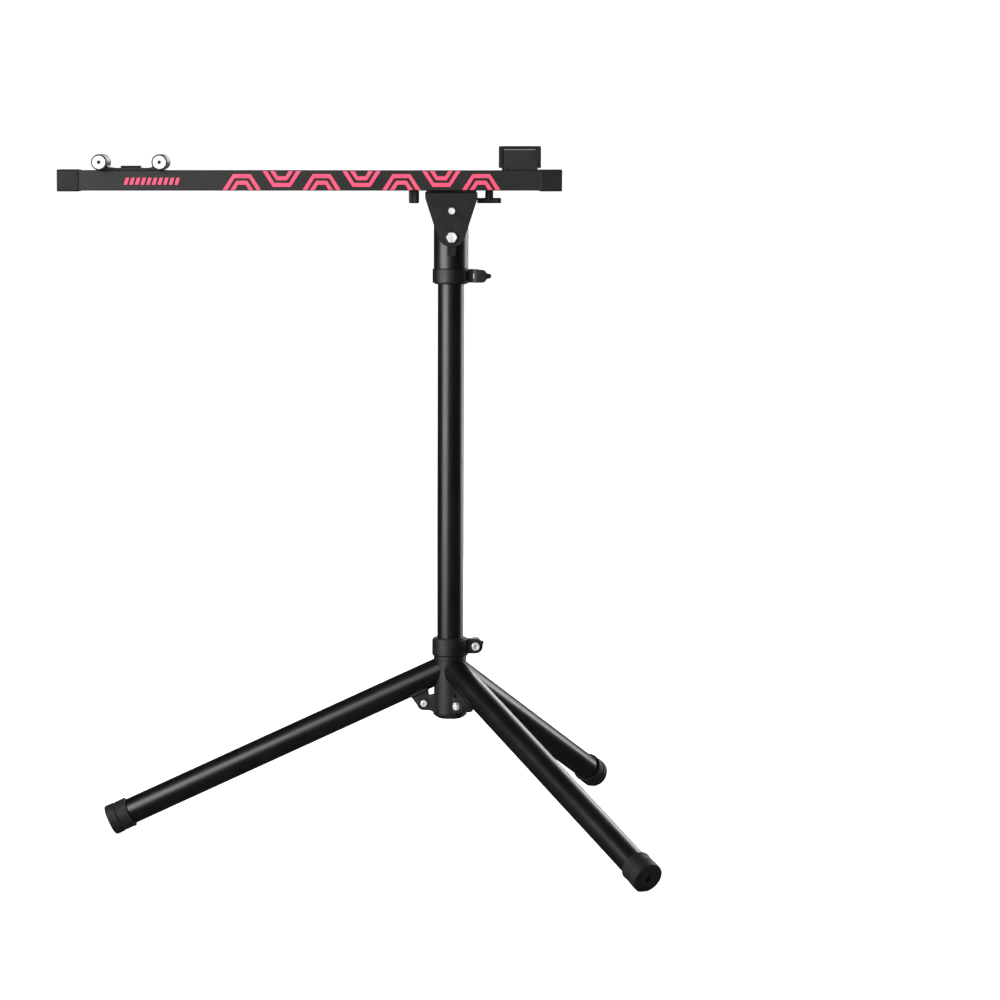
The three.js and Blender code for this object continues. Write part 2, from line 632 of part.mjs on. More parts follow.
// Web that blends a barrel into the plate; inward points from the barrel to the middle.
function barrelWeb(x, inward) {
  const plateTop = SEAT + CARRIAGE.plate;
  const shape = new THREE.Shape();
  shape.moveTo(x - inward * 6, SEAT);
  shape.lineTo(x - inward * 6, BARREL.z);
  shape.lineTo(x + inward * 9.5, BARREL.z - 3.5);
  shape.quadraticCurveTo(x + inward * 12, plateTop, x + inward * 22, plateTop);
  shape.lineTo(x + inward * 22, SEAT);
  return shape;
}

function axleCarriage() {
  const { low, high, half, plate, blockHalf, blockTop } = CARRIAGE;
  const extras = [
    block([CARRIAGE_X - blockHalf, CARRIAGE_X + blockHalf], [-16, 16], [SEAT + 1, blockTop]),
  ];
  const tools = [
    block([low - 20, high + 20], [-BEAM.halfWidth - 1, BEAM.halfWidth + 1], [SEAT - 10, SEAT]),
    rod(SCREW_HOLE + 0.2, [CARRIAGE_X, 0, SEAT - 1], [CARRIAGE_X, 0, blockTop + 1]),
    rod(5.8, [CARRIAGE_X, 0, CARRIAGE_SEAT - GAP], [CARRIAGE_X, 0, blockTop + 1]),
  ];
  for (const x of BARREL.xs) {
    const inward = Math.sign(CARRIAGE_X - x);
    extras.push(rod(BARREL.r, [x, -BARREL.half, BARREL.z], [x, BARREL.half, BARREL.z], 24));
    extras.push(slabXZ(barrelWeb(x, inward), -half, half));
    tools.push(rod(BARREL.bore, [x, -60, BARREL.z], [x, 60, BARREL.z]));
    for (const side of [-1, 1]) {
      const floor = [x, side * (BARREL.half - 1.5), BARREL.z];
      tools.push(rod(INSERT.seat, floor, [x, side * 60, BARREL.z], 24));
    }
  }
  return combine(block([low, high], [-half, half], [SEAT, SEAT + plate]), { plus: extras, minus: tools });
}

// A flanged axle insert for the barrel end at y = side * face.
function axleInsert(x, side) {
  const { face, disc, stem, bore } = INSERT;
  const ring = turned([
    [bore, -16], [stem, -16], [stem, -2], [disc, -2], [disc, -0.5], [disc - 0.5, 0],
    [5.8, 0], [5.3, -0.6], [bore, -0.6], [bore, -16],
  ], 24);
  return ring.rotateX(side * -Math.PI / 2).translate(x, side * face, BARREL.z);
}

addPart(stand, 'axle_carriage', axleCarriage(), SATIN_BLACK);
addPart(stand, 'carriage_tee_nut', teeNut(CARRIAGE_X), ZINC);
addPart(stand, 'carriage_screw', slotScrew(CARRIAGE_X, CARRIAGE_SEAT), ZINC);
for (const [place, x] of [['left', BARREL.xs[0]], ['right', BARREL.xs[1]]]) {
  addPart(stand, `axle_insert_${place}_front`, axleInsert(x, -1), ALUMINIUM);
  addPart(stand, `axle_insert_${place}_rear`, axleInsert(x, 1), ALUMINIUM);
}

// ---------------------------------------------------------------- bottom bracket rest
const REST_SEAT = 989.5;

function restCore() {
  const { x, half, depth, top, skin, foot } = REST;
  const body = half - skin - GAP;
  return combine(block([x - body, x + body], [0.5 - depth, depth - 0.5], [SEAT, top - skin - GAP]), {
    plus: [block([x - body - 1.1, x + body + 1.1], [0.5 - depth, depth - 0.5], [SEAT, SEAT + foot])],
    minus: [
      rod(SCREW_HOLE, [x, 0, SEAT - 1], [x, 0, top]),
      rod(6, [x, 0, REST_SEAT - GAP], [x, 0, top]),
    ],
  });
}

function restPad() {
  const { x, half, depth, top, skin, foot } = REST;
  const bottom = SEAT + foot + GAP;
  const outline = new THREE.Shape();
  outline.moveTo(-half, bottom);
  outline.absarc(2.5 - half, top - 2.5, 2.5, Math.PI, Math.PI / 2, true);
  outline.absarc(half - 2.5, top - 2.5, 2.5, Math.PI / 2, 0, true);
  outline.lineTo(half, bottom);
  outline.lineTo(half - skin, bottom);
  outline.lineTo(half - skin, top - skin);
  outline.lineTo(skin - half, top - skin);
  outline.lineTo(skin - half, bottom);
  return slabXZ(outline, -depth, depth).translate(x, 0, 0);
}

addPart(stand, 'rest_core', restCore(), SATIN_BLACK);
addPart(stand, 'rest_pad', restPad(), RUBBER);
addPart(stand, 'rest_tee_nut', teeNut(REST.x), ZINC);
addPart(stand, 'rest_screw', slotScrew(REST.x, REST_SEAT), ZINC);

export default stand;
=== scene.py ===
import json
import math

import bmesh
import bpy
from mathutils import Matrix, Vector


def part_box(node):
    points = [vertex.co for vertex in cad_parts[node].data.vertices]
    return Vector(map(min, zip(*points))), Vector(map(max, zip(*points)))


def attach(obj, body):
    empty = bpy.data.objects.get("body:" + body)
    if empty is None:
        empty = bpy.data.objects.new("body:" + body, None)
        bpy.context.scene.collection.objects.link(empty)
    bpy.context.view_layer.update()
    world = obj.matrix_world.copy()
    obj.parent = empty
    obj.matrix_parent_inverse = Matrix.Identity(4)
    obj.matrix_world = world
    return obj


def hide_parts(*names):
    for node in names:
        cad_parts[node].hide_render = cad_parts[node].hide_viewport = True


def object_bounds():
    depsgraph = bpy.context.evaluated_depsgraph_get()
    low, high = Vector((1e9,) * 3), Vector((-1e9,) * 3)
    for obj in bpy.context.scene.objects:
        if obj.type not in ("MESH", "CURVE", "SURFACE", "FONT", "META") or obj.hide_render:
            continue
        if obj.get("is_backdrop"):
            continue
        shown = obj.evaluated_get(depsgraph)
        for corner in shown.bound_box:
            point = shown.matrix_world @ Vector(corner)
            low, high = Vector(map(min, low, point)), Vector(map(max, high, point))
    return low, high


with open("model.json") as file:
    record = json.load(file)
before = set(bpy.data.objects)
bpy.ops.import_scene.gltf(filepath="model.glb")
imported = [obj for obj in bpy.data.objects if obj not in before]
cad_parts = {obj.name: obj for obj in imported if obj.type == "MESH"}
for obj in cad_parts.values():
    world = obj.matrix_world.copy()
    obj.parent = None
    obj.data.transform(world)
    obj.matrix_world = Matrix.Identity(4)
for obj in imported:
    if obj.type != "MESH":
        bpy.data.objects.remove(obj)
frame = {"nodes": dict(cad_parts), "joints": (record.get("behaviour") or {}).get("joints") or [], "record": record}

CAD_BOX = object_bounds()
MM = 0.001

# ------------------------------------------------------------------ where things are
X, Y, Z = Vector((1, 0, 0)), Vector((0, 1, 0)), Vector((0, 0, 1))
BODY_OF = {n: body for body, nodes in frame["record"]["behaviour"]["bodies"].items() for n in nodes}
SLOT_OF = {s["node"]: s["material_slot"] for s in frame["record"]["subparts"]}
JOINTS = {joint["name"]: joint for joint in frame["joints"]}


def centre(node):
    low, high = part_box(node)
    return (low + high) / 2


def span(node, origin, way):
    """How far a node reaches along a line, as (lowest, highest)."""
    reach = [(v.co - origin).dot(way) for v in frame["nodes"][node].data.vertices]
    return min(reach), max(reach)


def widest(node, origin, way):
    """The largest distance of a node's corners from a line."""
    return max(((v.co - origin).cross(way)).length for v in frame["nodes"][node].data.vertices)


def axes_at(origin, u, v):
    """A frame at origin whose X is u, whose Y is v and whose Z is u x v."""
    w = u.cross(v)
    rows = [[u[i], v[i], w[i], origin[i]] for i in range(3)]
    return Matrix(rows + [[0, 0, 0, 1]])


MAST = Vector((*centre("mast_tube").xy, 0))
TUBE_R = 19 * MM
GAP = 0.3 * MM
SCREW_R = 3 * MM
SCREW_HOLE = 3.3 * MM
TILT_HOLE = 5.3 * MM
PIN_HOLE = 3.8 * MM


def facing(x):
    """A frame on the mast's mid plane at x, its X along the beam, its Y up and its Z towards -Y."""
    return axes_at(Vector((x, MAST.y, 0)), X, Z)


def standing(x):
    """A frame on the mast's mid plane at x, its Z up."""
    return axes_at(Vector((x, MAST.y, 0)), X, Y)


# ------------------------------------------------------------------ mesh tools


def new_piece(name, mesh):
    piece = bpy.data.objects.new(name, mesh)
    bpy.context.scene.collection.objects.link(piece)
    return piece


def from_bmesh(name, bm):
    bmesh.ops.recalc_face_normals(bm, faces=bm.faces)
    mesh = bpy.data.meshes.new(name)
    bm.to_mesh(mesh)
    bm.free()
    return new_piece(name, mesh)


def round_corners(points, radius, closed=True, steps=4):
    """Replaces each corner of an outline by a short curve; points on the axis of a lathe stay."""
    points = [Vector(p) for p in points]
    result = []
    count = len(points)
    for i, corner in enumerate(points):
        at_end = not closed and i in (0, count - 1)
        before, after = points[i - 1] - corner, points[(i + 1) % count] - corner
        reach = min(radius, 0.45 * before.length, 0.45 * after.length)
        if at_end or before.angle(after, math.pi) > math.radians(172):
            result.append(corner)
            continue
        start, end = corner + before.normalized() * reach, corner + after.normalized() * reach
        for step in range(steps + 1):
            t = step / steps
            result.append(start * (1 - t) ** 2 + corner * 2 * t * (1 - t) + end * t ** 2)
    return result


def revolve(name, profile, place, sides=96, soften=0.4 * MM):
    """Turns (radius, height) points about Z. The profile closes on itself or ends on the axis."""
    closed = profile[0] == profile[-1]
    points = round_corners(profile[:-1] if closed else profile, soften, closed)
    bm = bmesh.new()
    rings = []
    for radius, height in points:
        if radius < 1e-7:
            rings.append([bm.verts.new(place @ Vector((0, 0, height)))])
            continue
        turns = [2 * math.pi * i / sides for i in range(sides)]
        rings.append([
            bm.verts.new(place @ Vector((radius * math.cos(a), radius * math.sin(a), height))) for a in turns
        ])
    for lower, upper in zip(rings, rings[1:] + ([rings[0]] if closed else [])):
        for i in range(sides):
            j = (i + 1) % sides
            corners = [lower[i % len(lower)], lower[j % len(lower)]]
            corners += [upper[j % len(upper)], upper[i % len(upper)]]
            corners = list(dict.fromkeys(corners))
            if len(corners) > 2:
                bm.faces.new(corners)
    return from_bmesh(name, bm)


def pipe(name, inner, outer, low, high, place, sides=96, soften=0.4 * MM):
    profile = [(inner, low), (outer, low), (outer, high), (inner, high), (inner, low)]
    return revolve(name, profile, place, sides, soften)


def rod(name, radius, low, high, place, sides=64, soften=0.3 * MM):
    return revolve(name, [(0, low), (radius, low), (radius, high), (0, high)], place, sides, soften)


def prism(name, outline, low, high, place):
    """An outline in the XY of place, extruded along its Z."""
    bm = bmesh.new()
    bottom = [bm.verts.new(place @ Vector((u, v, low))) for u, v in outline]
    top = [bm.verts.new(place @ Vector((u, v, high))) for u, v in outline]
    bm.faces.new(bottom)
    bm.faces.new(top)
    for i in range(len(outline)):
        j = (i + 1) % len(outline)
        bm.faces.new([bottom[i], bottom[j], top[j], top[i]])
    return from_bmesh(name, bm)


def brick(name, low, high):
    """A box between two corners, for cutting."""
    outline = [(low[0], low[1]), (high[0], low[1]), (high[0], high[1]), (low[0], high[1])]
    return prism(name, outline, low[2], high[2], Matrix.Identity(4))


def bake_modifiers(piece):
    graph = bpy.context.evaluated_depsgraph_get()
    mesh = bpy.data.meshes.new_from_object(piece.evaluated_get(graph))
    old = piece.data
    piece.modifiers.clear()
    piece.data = mesh
    bpy.data.meshes.remove(old)
    return piece


def boolean(piece, others, operation):
    for other in others:
        step = piece.modifiers.new("step", "BOOLEAN")
        step.operation = operation
        step.object = other
        step.solver = "EXACT"
    bake_modifiers(piece)
    for other in others:
        bpy.data.objects.remove(other)
    return piece


def join(piece, *others):
    return boolean(piece, others, "UNION")


def cut(piece, *others):
    return boolean(piece, others, "DIFFERENCE")


def keep(piece, other):
    return boolean(piece, [other], "INTERSECT")


def bevel(piece, width, segments=3, angle=30):
    step = piece.modifiers.new("edges", "BEVEL")
    step.width = width
    step.segments = segments
    step.limit_method = "ANGLE"
    step.angle_limit = math.radians(angle)
    step.use_clamp_overlap = True
    return bake_modifiers(piece)


def merge_close(piece, distance=0.01 * MM):
    bm = bmesh.new()
    bm.from_mesh(piece.data)
    bmesh.ops.remove_doubles(bm, verts=bm.verts, dist=distance)
    bmesh.ops.dissolve_degenerate(bm, edges=bm.edges, dist=distance)
    bm.to_mesh(piece.data)
    bm.free()
    return piece


def smooth(piece, sharp=38):
    for polygon in piece.data.polygons:
        polygon.use_smooth = True
    piece.data.set_sharp_from_angle(angle=math.radians(sharp))
    step = piece.modifiers.new("shading", "WEIGHTED_NORMAL")
    step.keep_sharp = True
    return bake_modifiers(piece)


def settle(piece, node):
    """Shades a piece, gives it its finish and lets it stand for its CAD node."""
    smooth(piece)
    piece.data.materials.clear()
    piece.data.materials.append(MATERIALS[SLOT_OF[node]])
    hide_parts(node)
    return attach(piece, BODY_OF[node])


# ------------------------------------------------------------------ materials


class Recipe:
    """Node helpers for one material about its Principled shader."""

    def __init__(self, name, colour, roughness, metallic=0.0, specular=0.5):
        self.material = bpy.data.materials.new(name)
        self.material.use_nodes = True
        self.tree = self.material.node_tree
        self.shader = self.tree.nodes["Principled BSDF"]
        self.shader.inputs["Base Color"].default_value = (*colour, 1)
        self.shader.inputs["Roughness"].default_value = roughness
        self.shader.inputs["Metallic"].default_value = metallic
        self.shader.inputs["Specular IOR Level"].default_value = specular
        self.place = self.tree.nodes.new("ShaderNodeTexCoord").outputs["Object"]

    def noise(self, scale, detail=4.0, stretch=(1, 1, 1)):
        mapping = self.tree.nodes.new("ShaderNodeMapping")
        mapping.inputs["Scale"].default_value = stretch
        self.tree.links.new(self.place, mapping.inputs["Vector"])
        node = self.tree.nodes.new("ShaderNodeTexNoise")
        node.inputs["Scale"].default_value = scale
        node.inputs["Detail"].default_value = detail
        self.tree.links.new(mapping.outputs["Vector"], node.inputs["Vector"])
        return node.outputs["Fac"]

    def cells(self, scale):
        node = self.tree.nodes.new("ShaderNodeTexVoronoi")
        node.inputs["Scale"].default_value = scale
        self.tree.links.new(self.place, node.inputs["Vector"])
        return node.outputs["Distance"]

    def ramp(self, source, low, high, start=0.35, end=0.65):
        """Maps a grey value between two greys, with everything outside start and end held."""
        node = self.tree.nodes.new("ShaderNodeMapRange")
        node.inputs["From Min"].default_value = start
        node.inputs["From Max"].default_value = end
        node.inputs["To Min"].default_value = low
        node.inputs["To Max"].default_value = high
        self.tree.links.new(source, node.inputs["Value"])
        return node.outputs["Result"]

    def tint(self, source, first, second, start=0.4, end=0.6):
        """Base colour that wanders between two colours."""
        node = self.tree.nodes.new("ShaderNodeMix")
        node.data_type = "RGBA"
        node.inputs[6].default_value = (*first, 1)
        node.inputs[7].default_value = (*second, 1)
        self.tree.links.new(self.ramp(source, 0, 1, start, end), node.inputs[0])
        self.tree.links.new(node.outputs[2], self.shader.inputs["Base Color"])
        return node.outputs[2]

    def rough(self, source, low, high):
        self.tree.links.new(self.ramp(source, low, high), self.shader.inputs["Roughness"])

    def worn_edges(self, colour, worn, start=0.53, end=0.62):
        """Rubs the colour through on convex edges."""
        edges = self.tree.nodes.new("ShaderNodeNewGeometry").outputs["Pointiness"]
        node = self.tree.nodes.new("ShaderNodeMix")
        node.data_type = "RGBA"
        node.inputs[7].default_value = (*worn, 1)
        self.tree.links.new(self.ramp(edges, 0, 1, start, end), node.inputs[0])
        self.tree.links.new(colour, node.inputs[6])
        self.tree.links.new(node.outputs[2], self.shader.inputs["Base Color"])

    def bump(self, source, strength, distance):
        node = self.tree.nodes.new("ShaderNodeBump")
        node.inputs["Strength"].default_value = strength
        node.inputs["Distance"].default_value = distance
        self.tree.links.new(source, node.inputs["Height"])
        before = self.shader.inputs["Normal"]
        if before.is_linked:
            self.tree.links.new(before.links[0].from_socket, node.inputs["Normal"])
        self.tree.links.new(node.outputs["Normal"], before)


def powder_coat(name, grey, roughness, specular):
    """Smooth powder coat on steel tube: faint orange peel and a little handling haze."""
    recipe = Recipe(name, (grey,) * 3, roughness, specular=specular)
    recipe.tint(recipe.noise(14, 6), (grey * 0.85,) * 3, (grey * 1.25,) * 3)
    recipe.rough(recipe.noise(25, 3), roughness - 0.02, roughness + 0.03)
    recipe.bump(recipe.noise(900, 2), 0.04, 0.0001)
    return recipe.material


def cast_coat(name, grey, roughness, specular):
    """Satin coat over a cast or pressed part, with a fine sandy grain."""
    recipe = Recipe(name, (grey,) * 3, roughness, specular=specular)
    colour = recipe.tint(recipe.noise(30, 5), (grey * 0.8,) * 3, (grey * 1.3,) * 3)
    recipe.worn_edges(colour, (grey * 2.4,) * 3)
    recipe.rough(recipe.noise(70, 4), roughness - 0.07, roughness + 0.07)
    recipe.bump(recipe.noise(2600, 3), 0.25, 0.00015)
    recipe.bump(recipe.noise(260, 2), 0.12, 0.0002)
    return recipe.material


def anodised(name, grey, roughness):
    """Black anodised extrusion: die lines along X under a satin oxide."""
    recipe = Recipe(name, (grey,) * 3, roughness, specular=0.5)
    recipe.tint(recipe.noise(9, 4, (1, 6, 6)), (grey * 0.88,) * 3, (grey * 1.15,) * 3)
    recipe.rough(recipe.noise(60, 3, (0.1, 8, 8)), roughness - 0.05, roughness + 0.06)
    recipe.bump(recipe.noise(420, 2, (0.012, 4, 4)), 0.14, 0.00008)
    return recipe.material


def moulded(name, grey, roughness, grain):
    """Moulded nylon or rubber with an eroded mould grain."""
    recipe = Recipe(name, (grey,) * 3, roughness, specular=0.35)
    colour = recipe.tint(recipe.noise(22, 5), (grey * 0.8,) * 3, (grey * 1.35,) * 3)
    recipe.worn_edges(colour, (grey * 2.2,) * 3)
    recipe.rough(recipe.noise(90, 4), roughness - 0.08, roughness + 0.07)
    recipe.bump(recipe.cells(grain), 0.22, 0.00012)
    recipe.bump(recipe.noise(grain * 0.6, 3), 0.15, 0.0001)
    return recipe.material


def plated(name, colour, roughness, marks):
    """Zinc plate or turned aluminium with fine tool marks."""
    recipe = Recipe(name, colour, roughness, metallic=0.45)
    darker = tuple(c * 0.86 for c in colour)
    recipe.tint(recipe.noise(120, 5), darker, colour)
    recipe.rough(recipe.noise(300, 4), roughness - 0.06, roughness + 0.1)
    recipe.bump(recipe.noise(marks, 3, (1, 1, 6)), 0.04, 0.00003)
    return recipe.material


def printed(name, colour):
    """Screen-printed ink, slightly uneven and with a soft tooth."""
    recipe = Recipe(name, colour, 0.5, specular=0.3)
    darker = (colour[0] * 0.93, colour[1] * 0.86, colour[2] * 0.88)
    recipe.tint(recipe.noise(130, 5), darker, colour)
    recipe.rough(recipe.noise(210, 3), 0.42, 0.58)
    recipe.bump(recipe.noise(1800, 2), 0.12, 0.00005)
    return recipe.material


MATERIALS = {
    "gloss_black": powder_coat("gloss_black_powder_coat", 0.0035, 0.30, 0.5),
    "satin_black": cast_coat("satin_black_cast_coat", 0.006, 0.46, 0.4),
    "anodised_black": anodised("black_anodised_extrusion", 0.009, 0.42),
    "black_nylon": moulded("black_moulded_nylon", 0.006, 0.5, 2600),
    "black_rubber": moulded("black_moulded_rubber", 0.005, 0.68, 1700),
    "zinc_steel": plated("zinc_plated_steel", (0.82, 0.83, 0.84), 0.34, 900),
    "bright_aluminium": plated("turned_aluminium", (0.93, 0.93, 0.94), 0.34, 700),
    "pink_print": printed("pink_screen_print", (0.82, 0.075, 0.155)),
}

# ------------------------------------------------------------------ hub
ABOUT_MAST = axes_at(MAST, X, Y)
PIVOTS = {side: JOINTS[f"{side}_leg_fold"] for side in ("left", "front", "rear")}
BORE_R = 21.8 * MM
HUB_R = 23.5 * MM
BUSH_IN, BUSH_OUT = 19.3 * MM, 21.5 * MM
EAR = {"r": 10.5 * MM, "inner": 5.8 * MM, "outer": 10 * MM, "boss": 11 * MM, "boss_r": 7.5 * MM}


def arc(centre_point, radius, start, end, steps=12):
    """Points on a circle between two angles in degrees."""
    turns = [math.radians(start + (end - start) * i / steps) for i in range(steps + 1)]
    return [(centre_point[0] + radius * math.cos(a), centre_point[1] + radius * math.sin(a)) for a in turns]


def leg_plane(side):
    """A leg's upright plane as (origin on the mast axis at the floor, outward, tangential)."""
    tangent = Vector(PIVOTS[side]["axis"]).normalized()
    return MAST, tangent.cross(Z), tangent


def make_hub():
    low, high = (v.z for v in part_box("hub_body"))
    r, lift = EAR["r"], 1.0 * MM
    profile = [
        (0, low), (HUB_R, low), (HUB_R, high - 6 * MM), (HUB_R + 0.25 * MM, high - 5.4 * MM),
        (HUB_R + 0.25 * MM, high), (0, high),
    ]
    hub = revolve("hub_barrel", profile, ABOUT_MAST, 128)
    ears = []
    for side, joint in PIVOTS.items():
        pivot = Vector(joint["pos_m"])
        origin, outward, _ = leg_plane(side)
        place = axes_at(origin, outward, Z)
        reach, height = (pivot - MAST).dot(outward), pivot.z
        outline = [(HUB_R - 9 * MM, height + r + lift), (HUB_R + 1 * MM, height + r + lift)]
        outline += [(HUB_R + 4 * MM, height + r)] + arc((reach, height), r, 90, -90, 20)
        outline += [(reach - 6 * MM, height - r), (HUB_R + 3.4 * MM, height - r - 0.8 * MM)]
        outline += [(HUB_R + 1.2 * MM, low + 1.6 * MM), (HUB_R - 0.3 * MM, low + 0.6 * MM)]
        outline += [(HUB_R - 9 * MM, low + 0.6 * MM)]
        through = axes_at(pivot, outward, Z)
        for flip in (-1, 1):
            near, far, boss = (flip * EAR[key] for key in ("inner", "outer", "boss"))
            ears.append(prism("ear", outline, min(near, far), max(near, far), place))
            ears.append(rod("boss", EAR["boss_r"], min(near, boss), max(near, boss), through, 48, 0))
    join(hub, *ears)
    holes = [
        rod("pin", PIN_HOLE, -20 * MM, 20 * MM, axes_at(Vector(j["pos_m"]), leg_plane(s)[1], Z), 40, 0)
        for s, j in PIVOTS.items()
    ]
    bore = rod("bore", BORE_R, low - 1 * MM, high + 1 * MM, ABOUT_MAST, 128, 0)
    cut(hub, bore, *holes)
    hub.name = "cast_hub"
    return settle(bevel(merge_close(hub), 0.7 * MM), "hub_body")


def make_lower_bush():
    low, high = (v.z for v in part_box("hub_lower_bush"))
    rim, shoulder = 24.6 * MM, low + 5.2 * MM
    profile = [
        (BUSH_IN, low), (20.6 * MM, low), (rim, low + 3.5 * MM), (rim, shoulder), (BUSH_OUT, shoulder),
        (BUSH_OUT, high), (BUSH_IN, high), (BUSH_IN, low),
    ]
    return settle(revolve("lower_bush", profile, ABOUT_MAST), "hub_lower_bush")


def make_slit_bush(node, lip_up):
    """A clamp bush: its lip is at the top when lip_up is 1 and at the bottom when it is -1."""
    low, high = (v.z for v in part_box(node))
    lip, other = (high, low) if lip_up > 0 else (low, high)
    rim, step = 23.9 * MM, lip - lip_up * 1.3 * MM
    profile = [
        (BUSH_IN, other), (BUSH_OUT, other), (BUSH_OUT, step), (rim, step), (rim, lip), (BUSH_IN, lip),
        (BUSH_IN, other),
    ]
    bush = revolve(node + "_body", profile, ABOUT_MAST)
    slit_end = lip - lip_up * 42 * MM
    low_z, high_z = sorted((lip + lip_up * MM, slit_end))
    near, far = Vector((10 * MM, -CLAMP["slot"], low_z)), Vector((30 * MM, CLAMP["slot"], high_z))
    cut(bush, brick("slit", MAST + near, MAST + far))
    return settle(bush, node)


# ------------------------------------------------------------------ quick-release clamps
CLAMP = {"ear": 8 * MM, "slot": 1.5 * MM, "shank": SCREW_R}


def make_collar(prefix, ear_r):
    node = f"{prefix}_clamp_collar"
    low, high = (v.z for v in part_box(node))
    eye = centre(f"{prefix}_clamp_skewer")
    reach = eye.x - MAST.x
    radius = MAST.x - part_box(node)[0].x
    profile = [
        (BORE_R, low), (radius - 0.5 * MM, low), (radius, low + 1.2 * MM), (radius, high - 1.2 * MM),
        (radius - 0.5 * MM, high), (BORE_R, high), (BORE_R, low),
    ]
    collar = revolve(node + "_ring", profile, ABOUT_MAST, 128)
    root = radius - 3 * MM
    outline = [(root, eye.z - ear_r), *arc((reach, eye.z), ear_r, -90, 90, 20), (root, eye.z + ear_r)]
    join(collar, prism("ears", outline, -CLAMP["ear"], CLAMP["ear"], facing(MAST.x)))
    edge = Vector((reach + 20 * MM, CLAMP["slot"], high + MM))
    slot = brick("slot", MAST + Vector((0, -CLAMP["slot"], low - MM)), MAST + edge)
    across_eye = axes_at(Vector((eye.x, MAST.y, eye.z)), X, Z)
    hole = rod("hole", SCREW_HOLE, -20 * MM, 20 * MM, across_eye, 40, 0)
    bore = rod("bore", BORE_R, low - MM, high + MM, ABOUT_MAST, 128, 0)
    cut(collar, slot, hole, bore)
    return settle(bevel(merge_close(collar), 0.6 * MM), node)


def clamp_frame(prefix):
    """(frame at the cam pin, side): its Y points from the lever to the nut, its X away from the mast."""
    pin = centre(f"{prefix}_clamp_pin")
    side = 1 if centre(f"{prefix}_clamp_nut").y > pin.y else -1
    return axes_at(pin, X, Y * side), side


# The cam lever's sections: distance from the pin, front and back faces, half height.
LEVER_SECTIONS = (
    (-6.9, -1.2, 1.2, 8.2), (-6.2, -3.2, 3.2, 9.0), (-4.8, -5.1, 5.1, 9.4), (-2.5, -6.5, 6.5, 9.4),
    (0, -7, 7, 9.4), (2.5, -7, 6.5, 9.4), (4.8, -7, 5.1, 9.4), (6.4, -7, 2.6, 9.4),
    (8, -7, 0.4, 9.2), (10.5, -6.9, -1.2, 8.6), (12.6, -6.8, -1.8, 7.0), (14, -6.7, -2.0, 4.8),
    (15.4, -6.5, -2.2, 3.7), (18.6, -5.3, -2.0, 3.4), (20.2, -3.8, -1.4, 2.6), (20.8, -3.0, -1.8, 1.6),
)


def make_lever(prefix, turn):
    """The cam lever, its blade turned by turn degrees away from the mast's radial line."""
    place = clamp_frame(prefix)[0] @ Matrix.Rotation(math.radians(-turn), 4, "Z")
    bm = bmesh.new()
    rings = []
    for out, front, back, half in LEVER_SECTIONS:
        corner = min(0.9, 0.3 * (back - front), 0.3 * half)
        section = [(front + corner, -half), (back - corner, -half), (back, corner - half)]
        section += [(back, half - corner), (back - corner, half), (front + corner, half)]
        section += [(front, half - corner), (front, corner - half)]
        rings.append([bm.verts.new(place @ (Vector((out, v, w)) * MM)) for v, w in section])
    for first, second in zip(rings, rings[1:]):
        for i in range(len(first)):
            j = (i + 1) % len(first)
            bm.faces.new([first[i], first[j], second[j], second[i]])
    bm.faces.new(rings[0])
    bm.faces.new(rings[-1])
    lever = from_bmesh(f"{prefix}_cam_lever", bm)
    pocket = [(-9 * MM, -5.6 * MM), (3.3 * MM, -5.6 * MM), (3.3 * MM, 9 * MM), (-9 * MM, 9 * MM)]
    cut(
        lever,
        prism("pocket", pocket, -3.9 * MM, 3.9 * MM, place),
        rod("pin", 2.8 * MM, -11 * MM, 11 * MM, place, 32, 0),
    )
    return settle(merge_close(lever), f"{prefix}_clamp_lever")


def make_clamp_works(prefix):
    place, side = clamp_frame(prefix)
    along = place @ Matrix.Rotation(math.radians(-90), 4, "X")  # its Z runs from the lever to the nut
    pin = place.translation
    nut_low, nut_high = span(f"{prefix}_clamp_nut", pin, Y * side)
    washer_low, washer_high = span(f"{prefix}_clamp_washer", pin, Y * side)
    tail = min(span(f"{prefix}_clamp_skewer", pin, Y * side)[1], nut_low + 2.6 * MM)
    skewer = rod(f"{prefix}_skewer", 5.3 * MM, -3.5 * MM, 3.5 * MM, place, 48)
    join(skewer, rod("shank", CLAMP["shank"], 0, tail, along, 40))
    cut(skewer, rod("eye", 2.8 * MM, -9 * MM, 9 * MM, place, 32, 0))
    settle(skewer, f"{prefix}_clamp_skewer")
    cam_pin = rod(f"{prefix}_cam_pin", 2.5 * MM, -9 * MM, 9 * MM, place, 32, 0.5 * MM)
    settle(cam_pin, f"{prefix}_clamp_pin")
    washer_r = widest(f"{prefix}_clamp_washer", Vector((pin.x, 0, pin.z)), Y)
    washer = pipe(f"{prefix}_cam_seat", SCREW_HOLE, washer_r, washer_low, washer_high, along, 64)
    settle(washer, f"{prefix}_clamp_washer")
    nut_r = 5.75 * MM
    bore, floor = 2.6 * MM, nut_low + 3.5 * MM
    profile = [
        (SCREW_HOLE, nut_low), (nut_r, nut_low), (nut_r, nut_high - 0.6 * MM), (nut_r - 0.7 * MM, nut_high),
        (3.4 * MM, nut_high), (bore, nut_high - 0.8 * MM), (bore, floor), (SCREW_HOLE, floor),
        (SCREW_HOLE, nut_low),
    ]
    settle(revolve(f"{prefix}_barrel_nut", profile, along, 64, 0.15 * MM), f"{prefix}_clamp_nut")


# ------------------------------------------------------------------ legs
TUBE_WALL = 2 * MM
LEG_DROP = math.radians(25)  # how far a leg tube slopes down from level
LEG_LIFT = 33.5 * MM  # from the hinge up to the tube's axis
TONGUE_HALF = 8.5 * MM  # half width of a leg bracket's tongue
SADDLE_HALF = 13 * MM  # half length and half width of its saddle under the tube


